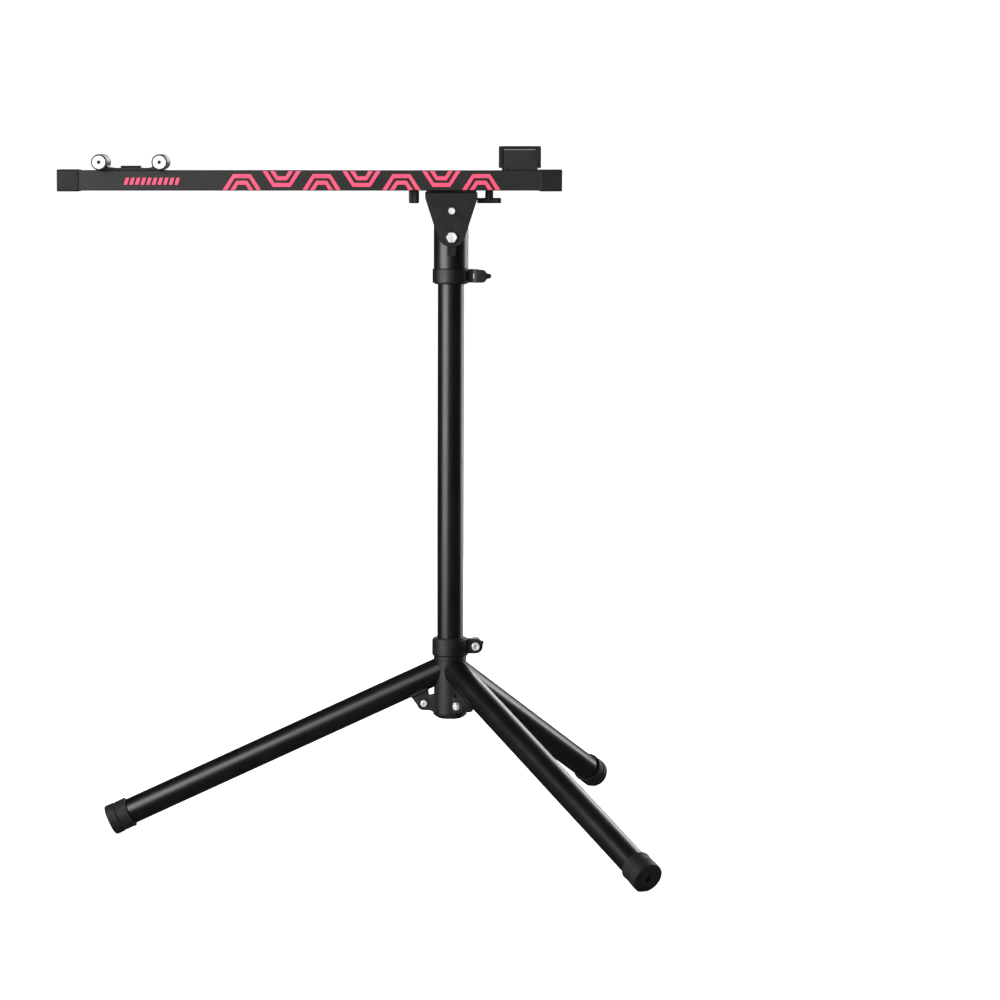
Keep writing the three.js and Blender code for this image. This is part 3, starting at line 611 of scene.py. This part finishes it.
def leg_frame(side):
    """A frame on the leg tube's axis above its hinge: X runs down the tube, Y is tangential."""
    _, outward, tangent = leg_plane(side)
    way = outward * math.cos(LEG_DROP) - Z * math.sin(LEG_DROP)
    up = way.cross(tangent)
    return axes_at(Vector(PIVOTS[side]["pos_m"]) + up * LEG_LIFT, way, tangent)


def along_tube(place):
    """The leg frame turned so that its Z runs down the tube."""
    return place @ Matrix(((0, 0, 1, 0), (1, 0, 0, 0), (0, 1, 0, 0), (0, 0, 0, 1)))


def make_leg_tube(side, place, way):
    low, high = span(f"{side}_leg_tube", place.translation, way)
    tube = pipe(f"{side}_tube", TUBE_R - TUBE_WALL, TUBE_R, low - 8 * MM, high, along_tube(place), 128)
    cut(tube, rod("cope", HUB_R + GAP, 0.15, 0.35, ABOUT_MAST, 128, 0))
    return settle(tube, f"{side}_leg_tube")


def make_leg_bracket(side, place):
    lowest, r = -LEG_LIFT, EAR["r"]
    rim, skirt = -TUBE_R + 2 * MM, -TUBE_R - 2.4 * MM
    outline = [(-SADDLE_HALF, rim), (-SADDLE_HALF, skirt), (-r + 0.4 * MM, lowest + 4.2 * MM)]
    outline += arc((0, lowest), r, 170, 370, 28)
    outline += [(12.5 * MM, skirt), (SADDLE_HALF, rim)]
    upright = place @ Matrix.Rotation(math.radians(90), 4, "X")
    tongue = prism(f"{side}_bracket", outline, -TONGUE_HALF, TONGUE_HALF, upright)
    inner, outer = TUBE_R + GAP, TUBE_R + 2.6 * MM
    saddle = pipe("saddle", inner, outer, -SADDLE_HALF, SADDLE_HALF, along_tube(place), 96)
    far = 30 * MM
    window = [(-far, -SADDLE_HALF), (far, -SADDLE_HALF), (far, SADDLE_HALF), (-far, SADDLE_HALF)]
    keep(saddle, prism("window", window, -30 * MM, -12 * MM, place))
    join(tongue, saddle)
    through = place @ Matrix.Translation((0, 0, lowest)) @ Matrix.Rotation(math.radians(90), 4, "X")
    cut(
        tongue,
        rod("tube", TUBE_R + GAP, -40 * MM, 40 * MM, along_tube(place), 96, 0),
        rod("hole", PIN_HOLE, -20 * MM, 20 * MM, through, 40, 0),
    )
    return settle(bevel(merge_close(tongue), 0.5 * MM), f"{side}_leg_bracket")


def hexagon(radius):
    turns = [math.radians(60 * i) for i in range(6)]
    return [(radius * math.cos(a), radius * math.sin(a)) for a in turns]


def turned_hexagon(name, corner, profile, place):
    """A turned piece milled to six flats where it is widest: a corner, at radius corner, points along Y."""
    piece = revolve(name, profile, place, 72, 0.12 * MM)
    back = place.inverted()
    for vertex in piece.data.vertices:
        local = back @ vertex.co
        reach = math.hypot(local.x, local.y)
        angle = math.degrees(math.atan2(local.y, local.x)) - 90
        flat = corner * math.cos(math.radians(30)) / math.cos(math.radians(angle % 60 - 30))
        if reach > flat:
            vertex.co = place @ Vector((local.x * flat / reach, local.y * flat / reach, local.z))
    return piece


def hex_nut(name, corner, hole, low, high, place):
    edge, face = 0.12 * corner, 0.9 * corner
    profile = [(hole, low), (face, low), (corner, low + edge)]
    profile += [(corner, high - edge), (face, high), (hole, high)]
    return turned_hexagon(name, corner, profile + profile[:1], place)


def make_leg_pivot(side):
    node = f"{side}_leg_pivot_bolt"
    pivot = Vector(PIVOTS[side]["pos_m"])
    _, outward, tangent = leg_plane(side)
    place = axes_at(pivot, Z, outward)  # its Z is tangential
    low, high = span(node, pivot, tangent)
    seat = EAR["boss"] + GAP
    shank, head = 3.5 * MM, 5 * MM
    profile = [
        (0, low), (3.0 * MM, low), (shank, low + 0.6 * MM), (shank, seat), (head, seat),
        (head, seat + 1.6 * MM), (4.5 * MM, high - 0.4 * MM), (3.2 * MM, high), (0, high),
    ]
    bolt = revolve(f"{side}_pivot_bolt", profile, place, 64, 0.3 * MM)
    cut(bolt, prism("socket", hexagon(2.3 * MM), high - 2.2 * MM, high + MM, place))
    settle(bolt, node)
    low, high = span(f"{side}_leg_pivot_nut", pivot, tangent)
    settle(hex_nut(f"{side}_pivot_nut", 6 * MM, PIN_HOLE, low, high, place), f"{side}_leg_pivot_nut")


def make_foot_cap(side, place, way):
    low, high = span(f"{side}_foot_cap", place.translation, way)
    inner, band, groove, sleeve = TUBE_R + GAP, 22.5 * MM, 21.3 * MM, 22 * MM
    profile = [
        (0, high - 5 * MM), (inner, high - 5 * MM), (inner, low), (band - 0.8 * MM, low),
        (band, low + 0.8 * MM), (band, low + 2.4 * MM), (sleeve, low + 3.2 * MM), (sleeve, low + 16 * MM),
        (groove, low + 16.6 * MM), (groove, low + 18 * MM), (band, low + 18.6 * MM),
        (band, high - 1.6 * MM), (band - 1.6 * MM, high), (0, high),
    ]
    cup = revolve(f"{side}_foot", profile, along_tube(place), 128, 0.5 * MM)
    size = 4.25 * MM
    square = round_corners([(-size, -size), (size, -size), (size, size), (-size, size)], 1.0 * MM)
    corner = Vector((60 * MM, 60 * MM, 0))
    tip = place.translation + way * high
    cut(
        cup,
        prism("recess", square, high - 3 * MM, high + MM, along_tube(place)),
        brick("floor", Vector((tip.x, tip.y, -0.05)) - corner, Vector((tip.x, tip.y, 0)) + corner),
    )
    return settle(cup, f"{side}_foot_cap")


# ------------------------------------------------------------------ mast and head
def make_mast():
    low, high = (v.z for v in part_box("mast_tube"))
    settle(pipe("mast", TUBE_R - TUBE_WALL, TUBE_R, low, high, ABOUT_MAST, 128), "mast_tube")
    low, high = (v.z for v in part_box("mast_end_plug"))
    rim, stem = low + 3.5 * MM, TUBE_R - TUBE_WALL - GAP
    profile = [
        (0, low), (TUBE_R - 2.2 * MM, low), (TUBE_R, low + 2.2 * MM), (TUBE_R, rim), (stem, rim),
        (stem, high), (0, high),
    ]
    settle(revolve("end_plug", profile, ABOUT_MAST), "mast_end_plug")


TILT = Vector(JOINTS["beam_tilt"]["pos_m"])
STOP = centre("stop_spacer")
ACROSS = axes_at(Vector((0, 0, 0)), Z, X)  # its Z is +Y


def across(point):
    """A frame at a point's x and z on the mast's mid plane, its Z along +Y."""
    return Matrix.Translation(Vector((point.x, MAST.y, point.z))) @ ACROSS


SLEEVE_R = 25 * MM


def make_sleeve():
    low, high = (v.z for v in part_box("head_sleeve"))
    sleeve = pipe("sleeve", BORE_R, SLEEVE_R, low, high, ABOUT_MAST, 128, 0.6 * MM)
    cut(sleeve, rod("hole", TILT_HOLE, -40 * MM, 40 * MM, across(TILT), 48, 0))
    settle(sleeve, "head_sleeve")
    for node in ("pivot_pad_front", "pivot_pad_rear"):
        low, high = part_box(node)
        middle = (low + high) / 2
        outer = max(abs(low.y - MAST.y), abs(high.y - MAST.y))
        side = math.copysign(1, middle.y - MAST.y)
        half = (high.x - low.x) / 2
        near, far = sorted((side * 20 * MM, side * outer))
        outline = [(-half, low.z), (half, low.z), (half, high.z), (-half, high.z)]
        pad = prism(node + "_strip", round_corners(outline, 1.2 * MM), -far, -near, facing(middle.x))
        cut(
            pad,
            rod("tube", SLEEVE_R + GAP, 0.7, 1.0, ABOUT_MAST, 128, 0),
            rod("hole", TILT_HOLE, -40 * MM, 40 * MM, across(TILT), 48, 0),
        )
        settle(bevel(merge_close(pad), 0.25 * MM, 2), node)


CHEEK_OUT = 29.5 * MM
CHEEK_IN = 27 * MM


def make_bracket():
    low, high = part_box("head_bracket")
    half, top, bottom = (high.x - low.x) / 2, high.z, low.z
    web = 2.5 * MM
    section = [(-CHEEK_OUT, bottom), (-CHEEK_IN, bottom), (-CHEEK_IN, top - web), (CHEEK_IN, top - web)]
    section += [(CHEEK_IN, bottom), (CHEEK_OUT, bottom), (CHEEK_OUT, top), (-CHEEK_OUT, top)]
    bend_out, bend_in = 3.0 * MM, 0.8 * MM
    rounded = [Vector(p) for p in section[:2]]
    rounded += round_corners(section[1:5], bend_in, False)[1:-1]
    rounded += [Vector(p) for p in section[4:6]]
    rounded += round_corners(section[5:] + section[:1], bend_out, False, 6)[1:-1]
    sheet = prism("folded_bracket", rounded, -half, half, axes_at(Vector((MAST.x, MAST.y, 0)), Y, Z))
    side = [(half, top + MM), (half, top - 9.3 * MM), (21.3 * MM, bottom + 19.1 * MM)]
    side += [(18.7 * MM, bottom + 11.3 * MM), (15 * MM, bottom + 4.8 * MM)]
    side += [(10.8 * MM, bottom + 1.2 * MM), (6 * MM, bottom)]
    outline = round_corners([(-u, v) for u, v in side] + side[::-1], 3.0 * MM)
    keep(sheet, prism("outline", outline, -60 * MM, 60 * MM, facing(MAST.x)))
    cut(
        sheet,
        rod("tilt", TILT_HOLE, -60 * MM, 60 * MM, across(TILT), 48, 0),
        rod("stop", SCREW_HOLE, -60 * MM, 60 * MM, across(STOP), 40, 0),
    )
    return settle(bevel(merge_close(sheet), 0.45 * MM), "head_bracket")


def make_cross_bolt(name, node, point, head_r, head_height, shank, washer_face):
    """A hexagon-head bolt along Y, head towards -Y."""
    front, back = span(node, Vector((point.x, MAST.y, point.z)), Y)
    place = across(point) @ Matrix.Rotation(math.pi, 4, "X")  # its Z is -Y
    seat = -front - head_height
    profile = [
        (0, -back), (shank - 0.5 * MM, -back), (shank, 0.5 * MM - back), (shank, seat), (head_r, seat),
        (head_r, -front - 0.12 * head_r), (0.9 * head_r, -front), (washer_face + 0.5 * MM, -front),
        (washer_face, -front - 0.4 * MM), (0, -front - 0.4 * MM),
    ]
    return settle(turned_hexagon(name, head_r, profile, place), node)


def make_cross_nut(name, node, point, radius, hole):
    front, back = span(node, Vector((point.x, MAST.y, point.z)), Y)
    return settle(hex_nut(name, radius, hole, front, back, across(point)), node)


def make_tilt_hardware():
    make_cross_bolt("tilt_screw", "tilt_bolt", TILT, 8 * MM, 4.5 * MM, 5 * MM, 4.2 * MM)
    make_cross_nut("tilt_lock_nut", "tilt_nut", TILT, 9.2 * MM, TILT_HOLE)
    make_cross_bolt("stop_screw", "stop_bolt", STOP, 5.2 * MM, 3.2 * MM, SCREW_R, 2.4 * MM)
    make_cross_nut("stop_lock_nut", "stop_nut", STOP, 5.7 * MM, SCREW_HOLE)
    front, back = span("tilt_washer", Vector((TILT.x, MAST.y, TILT.z)), Y)
    settle(pipe("tilt_shim", TILT_HOLE, 10 * MM, front, back, across(TILT), 72, 0.3 * MM), "tilt_washer")
    front, back = span("stop_spacer", Vector((STOP.x, MAST.y, STOP.z)), Y)
    settle(pipe("spacer", SCREW_HOLE, 5.5 * MM, front, back, across(STOP), 48), "stop_spacer")


# ------------------------------------------------------------------ beam
BEAM_LOW, BEAM_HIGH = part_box("beam_extrusion")
BEAM_HALF = (BEAM_HIGH - BEAM_LOW) / 2
BEAM_Z = (BEAM_LOW.z + BEAM_HIGH.z) / 2
ALONG_BEAM = axes_at(Vector((0, MAST.y, BEAM_Z)), Y, Z)  # its Z is +X
SLOT_MOUTH, SLOT_HALF, SLOT_LIP, SLOT_DEPTH = 8 * MM, 15 * MM, 3.3 * MM, 9.3 * MM


def slotted_section():
    """The beam's outline with its two T-slots, going round from the lower right corner."""
    half_y, half_z = BEAM_HALF.y, BEAM_HALF.z
    quarter = [
        (half_y, -half_z), (half_y, half_z), (SLOT_MOUTH, half_z), (SLOT_MOUTH, half_z - SLOT_LIP),
        (SLOT_HALF, half_z - SLOT_LIP), (SLOT_HALF, half_z - SLOT_DEPTH),
    ]
    turned = [(-y, -z) for y, z in quarter]
    outline = quarter + [(-y, z) for y, z in reversed(quarter[2:])]
    outline += turned + [(-y, z) for y, z in reversed(turned[2:])]
    result = []
    for i, corner in enumerate(outline):
        radius = 1.6 * MM if abs(abs(corner[0]) - half_y) < 1e-6 else 0.35 * MM
        before, after = outline[i - 1], outline[(i + 1) % len(outline)]
        result += round_corners([before, corner, after], radius, False, 6)[1:-1]
    return result


def make_beam():
    start, end = BEAM_LOW.x, BEAM_HIGH.x
    beam = prism("slotted_beam", slotted_section(), start, end, ALONG_BEAM)
    wall = 2.2 * MM
    hollows = []
    for side in (-1, 1):
        near, far = sorted((side * (SLOT_HALF + wall), side * (BEAM_HALF.y - wall)))
        reach = BEAM_HALF.z - wall
        chamber = round_corners([(near, -reach), (far, -reach), (far, reach), (near, reach)], 1 * MM)
        hollows.append(prism("chamber", chamber, start - MM, end + MM, ALONG_BEAM))
    core = BEAM_HALF.z - SLOT_DEPTH - wall
    middle = [(-SLOT_HALF, -core), (SLOT_HALF, -core), (SLOT_HALF, core), (-SLOT_HALF, core)]
    hollows.append(prism("middle", round_corners(middle, 1 * MM), start - MM, end + MM, ALONG_BEAM))
    cut(beam, *hollows)
    return settle(beam, "beam_extrusion")


def rounded_rectangle(half_u, half_v, radius, steps=8):
    corners = [(-half_u, -half_v), (half_u, -half_v), (half_u, half_v), (-half_u, half_v)]
    return round_corners(corners, radius, True, steps)


def make_end_cap(node, name, inward):
    """inward is 1 on the left cap, whose closed end faces -X, and -1 on the right one."""
    low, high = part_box(node)
    outer, mouth = (low.x, high.x) if inward > 0 else (high.x, low.x)
    skin = 1.2 * MM
    shell = rounded_rectangle(BEAM_HALF.y + skin, BEAM_HALF.z + skin, 3.2 * MM)
    cap = prism(name, shell, low.x, high.x, ALONG_BEAM)
    bevel(cap, 0.9 * MM, 4, 60)
    hollow = rounded_rectangle(BEAM_HALF.y + GAP, BEAM_HALF.z + GAP, 1.6 * MM)
    pocket = sorted((outer + inward * 3 * MM, mouth + inward * MM))
    cut(cap, prism("pocket", hollow, *pocket, ALONG_BEAM))
    return settle(merge_close(cap), node)


PATTERN = {
    "count": 7, "pitch": 57.3 * MM, "first": -301.5 * MM,
    "stroke": 5.6 * MM, "half": 27.5 * MM, "height": 22.5 * MM,
}
DASH = {
    "count": 10, "pitch": 8.1 * MM, "first": -471 * MM,
    "width": 4.6 * MM, "height": 10 * MM, "slant": 3 * MM,
}
INK = 0.06 * MM


def arch(middle, half, height, stroke, flip):
    """Half a hexagonal ring standing on the beam's lower edge, or hanging from the upper one."""
    edge = BEAM_HALF.z - 1.2 * MM
    top, inset = 0.46 * half, stroke * 1.18
    outer = [(-half, 0), (-top, height), (top, height), (half, 0)]
    inner = [(half - inset, 0), (top - 0.35 * stroke, height - stroke)]
    inner += [(0.35 * stroke - top, height - stroke), (inset - half, 0)]
    return [(middle + u, flip * (v - edge)) for u, v in outer + inner]


def print_mark(name, outline, face):
    place = axes_at(Vector((0, MAST.y + face * BEAM_HALF.y, BEAM_Z)), X, Z)  # its Z is -Y
    low, high = sorted((0.05 * MM * face, -INK * face))
    mark = prism(name, round_corners(outline, 0.5 * MM), low, high, place)
    mark.data.materials.append(MATERIALS["pink_print"])
    smooth(mark)
    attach(mark, "beam")


def make_print():
    """On both faces: nested arches in turn on the lower and upper edge, and a row of short dashes."""
    for side, face in (("front", -1), ("rear", 1)):
        for i in range(PATTERN["count"]):
            middle = MAST.x + PATTERN["first"] + i * PATTERN["pitch"]
            flip = 1 if i % 2 == 0 else -1
            for j, share in enumerate((1.0, 0.6)):
                half, height = PATTERN["half"] * share, PATTERN["height"] * (share - 0.02 * j)
                outline = arch(middle, half, height, PATTERN["stroke"], flip)
                print_mark(f"arch_{side}_{i}_{j}", outline, face)
        for i in range(DASH["count"]):
            start = MAST.x + DASH["first"] + i * DASH["pitch"]
            low, high = -0.5 * DASH["height"] - MM, 0.5 * DASH["height"] - MM
            outline = [(start, low), (start + DASH["width"], low)]
            outline += [(start + DASH["width"] + DASH["slant"], high), (start + DASH["slant"], high)]
            print_mark(f"dash_{side}_{i}", outline, face)


# ------------------------------------------------------------------ under the beam
def make_slide_bar():
    low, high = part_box("slide_bar")
    step = BEAM_LOW.z + SLOT_LIP + GAP
    neck = 7.5 * MM
    bar = brick("slot_bar", Vector((low.x, low.y, step)), high)
    bevel(bar, 0.8 * MM)
    reach = 36 * MM
    foot_low = Vector((MAST.x - reach, MAST.y - neck, low.z))
    foot_high = Vector((MAST.x + reach, MAST.y + neck, step + MM))
    join(bar, brick("neck", foot_low, foot_high))
    holes = [
        rod("hole", SCREW_HOLE, low.z - MM, high.z + MM, standing(centre(node).x), 40, 0)
        for node in ("thumb_screw", "tee_screw")
    ]
    cut(bar, *holes)
    return settle(merge_close(bar), "slide_bar")


def make_thumb_screw():
    low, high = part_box("thumb_screw")
    middle = centre("thumb_screw")
    top, ribs, r, dip = BEAM_LOW.z - GAP, 20, 7.5 * MM, 0.35 * MM
    dish = low.z + 1.2 * MM
    profile = [(0, dish), (4 * MM, dish), (4.4 * MM, low.z), (r - 1.3 * MM, low.z), (r, low.z + 1.3 * MM)]
    profile += [(r, top - MM), (r - MM, top), (SCREW_R, top), (SCREW_R, high.z), (0, high.z)]
    knob = revolve("knurled_screw", profile, standing(middle.x), 6 * ribs, 0.25 * MM)
    for vertex in knob.data.vertices:
        u, v = vertex.co.x - middle.x, vertex.co.y - MAST.y
        reach = math.hypot(u, v)
        if reach > r - 0.6 * MM:
            share = 1 - dip * (1 - math.cos(ribs * math.atan2(v, u))) / reach
            vertex.co.x, vertex.co.y = middle.x + u * share, MAST.y + v * share
    return settle(knob, "thumb_screw")


def make_tee_screw():
    low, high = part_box("tee_screw")
    place = standing(centre("tee_screw").x)
    top, bar_top = BEAM_LOW.z - GAP, low.z + 7.8 * MM
    half, end_r, waist = (high.x - low.x) / 2, 6.4 * MM, 5.2 * MM
    outline = arc((half - end_r, 0), end_r, -90, 90, 16) + [(0, waist)]
    outline += arc((end_r - half, 0), end_r, 90, 270, 16) + [(0, -waist)]
    tee = prism("tee_handle", outline, low.z, bar_top, place)
    bevel(tee, 1.4 * MM, 4, 40)
    foot = low.z + MM
    profile = [(0, foot), (6.1 * MM, foot), (5.9 * MM, top - 0.8 * MM), (5.2 * MM, top), (0, top)]
    thread = rod("thread", SCREW_R, top - MM, high.z, place, 40)
    join(tee, revolve("post", profile, place, 64), thread)
    return settle(merge_close(tee), "tee_screw")


# ------------------------------------------------------------------ on top of the beam
BARREL_Z = centre("axle_insert_left_front").z
BARREL_R = 11.4 * MM
INSERTS = ("axle_insert_left_front", "axle_insert_right_front")


def make_carriage():
    low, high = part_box("axle_carriage")
    seat = BEAM_HIGH.z + GAP
    middle, plate, half = centre("carriage_screw").x, 3 * MM, 28 * MM
    well = standing(middle)
    plate_half = (centre(INSERTS[1]).x - centre(INSERTS[0]).x) / 2 + 5 * MM
    body = prism("axle_mount", rounded_rectangle(plate_half, half, 3 * MM), seat, seat + plate, well)
    top = seat + 6.2 * MM
    extras = [prism("pad", rounded_rectangle(14.2 * MM, 16 * MM, 2.5 * MM), seat + MM, top, well)]
    tools = []
    barrel_half = 49.2 * MM
    for node in INSERTS:
        x = centre(node).x
        inward = math.copysign(1, middle - x)
        place = across(Vector((x, 0, BARREL_Z)))
        extras.append(rod("barrel", BARREL_R, -barrel_half, barrel_half, place, 96, 0.8 * MM))
        back, foot, deck = -6 * MM, 22 * MM, seat + plate
        web = [(back, seat), (back, BARREL_Z), (9.3 * MM, BARREL_Z - 3.2 * MM)]
        web += [(10.4 * MM, BARREL_Z - 5 * MM), (12.6 * MM, deck + 1.2 * MM), (16 * MM, deck + 0.3 * MM)]
        web += [(foot, deck - 0.1 * MM), (foot, seat)]
        extras.append(prism("web", [(inward * u, v) for u, v in web], -half, half, facing(x)))
        tools.append(rod("bore", 6.4 * MM, -60 * MM, 60 * MM, place, 64, 0))
        for side in (-1, 1):
            floor, out = sorted((side * (barrel_half - 1.5 * MM), side * 60 * MM))
            tools.append(rod("seat", 9.8 * MM, floor, out, place, 72, 0))
    join(body, *extras)
    clearance = brick(
        "clearance",
        Vector((low.x - 20 * MM, MAST.y - 31 * MM, seat - 10 * MM)),
        Vector((high.x + 20 * MM, MAST.y + 31 * MM, seat)),
    )
    tools += [
        clearance,
        rod("hole", 3.5 * MM, seat - MM, top + MM, well, 40, 0),
        rod("well", 5.8 * MM, top - 3.5 * MM, top + MM, well, 48, 0),
    ]
    cut(body, *tools)
    return settle(bevel(merge_close(body), 0.4 * MM), "axle_carriage")


def make_insert(node):
    middle = centre(node)
    side = math.copysign(1, middle.y - MAST.y)
    face = max(abs(v.y - MAST.y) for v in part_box(node))
    place = across(middle)
    if side < 0:
        place = place @ Matrix.Rotation(math.pi, 4, "X")
    disc, bore = 9.5 * MM, 2.5 * MM
    profile = [
        (bore, face - 16 * MM), (6.1 * MM, face - 16 * MM), (6.1 * MM, face - 2 * MM), (disc, face - 2 * MM),
        (disc, face - 0.5 * MM), (disc - 0.5 * MM, face), (5.3 * MM, face), (4.9 * MM, face - 0.6 * MM),
        (4.3 * MM, face - 0.6 * MM), (4.0 * MM, face - 0.1 * MM), (3.2 * MM, face - 0.1 * MM),
        (bore, face - 0.9 * MM), (bore, face - 16 * MM),
    ]
    return settle(revolve(node + "_ring", profile, place, 96, 0.12 * MM), node)


def make_tee_nut(node):
    low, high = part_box(node)
    step = BEAM_HIGH.z - SLOT_LIP - GAP
    nut = brick(node + "_plate", low, Vector((high.x, high.y, step)))
    bevel(nut, 0.6 * MM)
    neck = 7.7 * MM
    neck_low = Vector((low.x, MAST.y - neck, step - MM))
    join(nut, brick("neck", neck_low, Vector((high.x, MAST.y + neck, high.z))))
    cut(nut, rod("hole", SCREW_HOLE, low.z - MM, high.z + MM, standing(centre(node).x), 40, 0))
    return settle(merge_close(nut), node)


def make_slot_screw(node):
    low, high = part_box(node)
    place = axes_at(Vector((*((low + high) / 2).xy, 0)), X, Y)
    seat, head, edge = high.z - 3 * MM, 5.2 * MM, 0.5 * MM
    profile = [
        (0, low.z), (SCREW_R - edge, low.z), (SCREW_R, low.z + edge), (SCREW_R, seat), (head, seat),
        (head, high.z - edge), (head - edge, high.z), (0, high.z),
    ]
    screw = revolve(node + "_body", profile, place, 64, 0.2 * MM)
    cut(screw, prism("socket", hexagon(2.3 * MM), seat + MM, high.z + MM, place))
    return settle(merge_close(screw), node)


def make_rest():
    low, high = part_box("rest_pad")
    half_x, half_y = (high.x - low.x) / 2, (high.y - low.y) / 2
    middle = (low + high) / 2
    skin = 5.1 * MM
    place = axes_at(Vector((middle.x, middle.y, 0)), X, Z)
    outline = [(-half_x, low.z), (-half_x, high.z), (half_x, high.z), (half_x, low.z)]
    outline = outline[:1] + round_corners(outline, 2.6 * MM, False, 6)[1:-1] + outline[3:]
    body_x, roof = half_x - skin, high.z - skin
    outline += [(body_x, low.z), (body_x, roof), (-body_x, roof), (-body_x, low.z)]
    pad = prism("saddle_pad", outline, -half_y, half_y, place)
    settle(bevel(pad, 0.9 * MM, 4, 60), "rest_pad")
    core_low, core_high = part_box("rest_core")
    foot = core_low.z + 2.5 * MM
    block_low = Vector((middle.x - body_x + GAP, core_low.y, core_low.z))
    block_high = Vector((middle.x + body_x - GAP, core_high.y, core_high.z))
    core = brick("rest_block", block_low, block_high)
    join(core, brick("foot", core_low, Vector((core_high.x, core_high.y, foot))))
    well = axes_at(Vector((middle.x, middle.y, 0)), X, Y)
    cut(
        core,
        rod("hole", SCREW_HOLE, core_low.z - MM, core_high.z + MM, well, 40, 0),
        rod("well", 6 * MM, core_low.z + 16.3 * MM, core_high.z + MM, well, 48, 0),
    )
    return settle(bevel(merge_close(core), 0.5 * MM), "rest_core")


# ------------------------------------------------------------------ the object
def make_stand():
    make_hub()
    make_lower_bush()
    make_slit_bush("hub_upper_bush", 1)
    make_slit_bush("head_sleeve_bush", -1)
    make_collar("hub", 10.9 * MM)
    make_collar("head", 9.7 * MM)
    make_lever("hub", 45)
    make_lever("head", 0)
    make_clamp_works("hub")
    make_clamp_works("head")
    for side in PIVOTS:
        place = leg_frame(side)
        way = place.to_3x3().col[0]
        make_leg_tube(side, place, way)
        make_leg_bracket(side, place)
        make_leg_pivot(side)
        make_foot_cap(side, place, way)
    make_mast()
    make_sleeve()
    make_bracket()
    make_tilt_hardware()
    make_beam()
    make_end_cap("end_cap_left", "left_end_cap", 1)
    make_end_cap("end_cap_right", "right_end_cap", -1)
    make_print()
    make_slide_bar()
    make_thumb_screw()
    make_tee_screw()
    make_carriage()
    for x_side in ("left", "right"):
        for y_side in ("front", "rear"):
            make_insert(f"axle_insert_{x_side}_{y_side}")
    for node in ("carriage_tee_nut", "rest_tee_nut"):
        make_tee_nut(node)
    for node in ("carriage_screw", "rest_screw"):
        make_slot_screw(node)
    make_rest()


# ------------------------------------------------------------------ studio
def make_camera():
    camera = bpy.data.objects.new("camera", bpy.data.cameras.new("camera"))
    bpy.context.scene.collection.objects.link(camera)
    camera.data.lens = 134.95
    camera.data.shift_x, camera.data.shift_y = 0.141, 0.020
    camera.data.sensor_width = 36
    camera.data.clip_end = 60
    camera.location = MAST + Vector((-133.2, -5434.9, 1006.0)) * MM
    camera.rotation_euler = (math.radians(90 - 5.684), 0, 0)
    bpy.context.scene.camera = camera


def area_light(name, place, aim, size, watts):
    data = bpy.data.lights.new(name, "AREA")
    data.shape = "RECTANGLE"
    data.size, data.size_y = size
    data.energy = watts
    light = bpy.data.objects.new(name, data)
    bpy.context.scene.collection.objects.link(light)
    light.location = place
    light.rotation_euler = (aim - place).to_track_quat("-Z", "Y").to_euler()


def make_floor():
    """A pale floor that curves up into a backdrop, lit evenly; it stays out of glossy reflections."""
    bm = bmesh.new()
    width, front, bend, curve, height = 14, -9, 7, 3, 8
    section = [(front, 0), (bend, 0)]
    turns = [math.radians(a) for a in range(9, 91, 9)]
    section += [(bend + curve * math.sin(a), curve - curve * math.cos(a)) for a in turns]
    section += [(bend + curve, height)]
    rows = [[bm.verts.new((x, y, z)) for x in (-width, width)] for y, z in section]
    for first, second in zip(rows, rows[1:]):
        bm.faces.new([first[0], first[1], second[1], second[0]])
    floor = from_bmesh("floor", bm)
    for polygon in floor.data.polygons:
        polygon.use_smooth = True
    material = bpy.data.materials.new("pale_floor")
    material.use_nodes = True
    shader = material.node_tree.nodes["Principled BSDF"]
    shader.inputs["Base Color"].default_value = (0.9, 0.9, 0.9, 1)
    shader.inputs["Roughness"].default_value = 0.9
    shader.inputs["Specular IOR Level"].default_value = 0.0
    shader.inputs["Emission Color"].default_value = (1, 1, 1, 1)
    shader.inputs["Emission Strength"].default_value = 0.78
    floor.data.materials.append(material)
    floor.visible_glossy = False
    floor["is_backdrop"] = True


def make_lights():
    waist = MAST + Vector((0, 0, 0.6))
    panels = {
        "left_panel": ((-2.4, -1.9, 0.6), (2.7, 2.4), 145),
        "right_panel": ((2.6, 1.7, 0.5), (2.2, 2.4), 66),
        "back_panel": ((1.1, 2.7, 1.3), (2.8, 1.8), 70),
        "front_panel": ((-1.4, -6.2, 1.6), (3.0, 2.2), 40),
    }
    for name, (offset, size, watts) in panels.items():
        area_light(name, waist + Vector(offset), waist, size, watts)
    world = bpy.data.worlds.new("studio")
    world.use_nodes = True
    world.node_tree.nodes["Background"].inputs["Color"].default_value = (1, 1, 1, 1)
    world.node_tree.nodes["Background"].inputs["Strength"].default_value = 0.02
    bpy.context.scene.world = world
    bpy.context.scene.view_settings.view_transform = "Standard"


make_camera()
make_stand()
make_floor()
make_lights()

boxes = {"cad": CAD_BOX, "visual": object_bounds()}
{name: [list(corner) for corner in box] for name, box in boxes.items()}
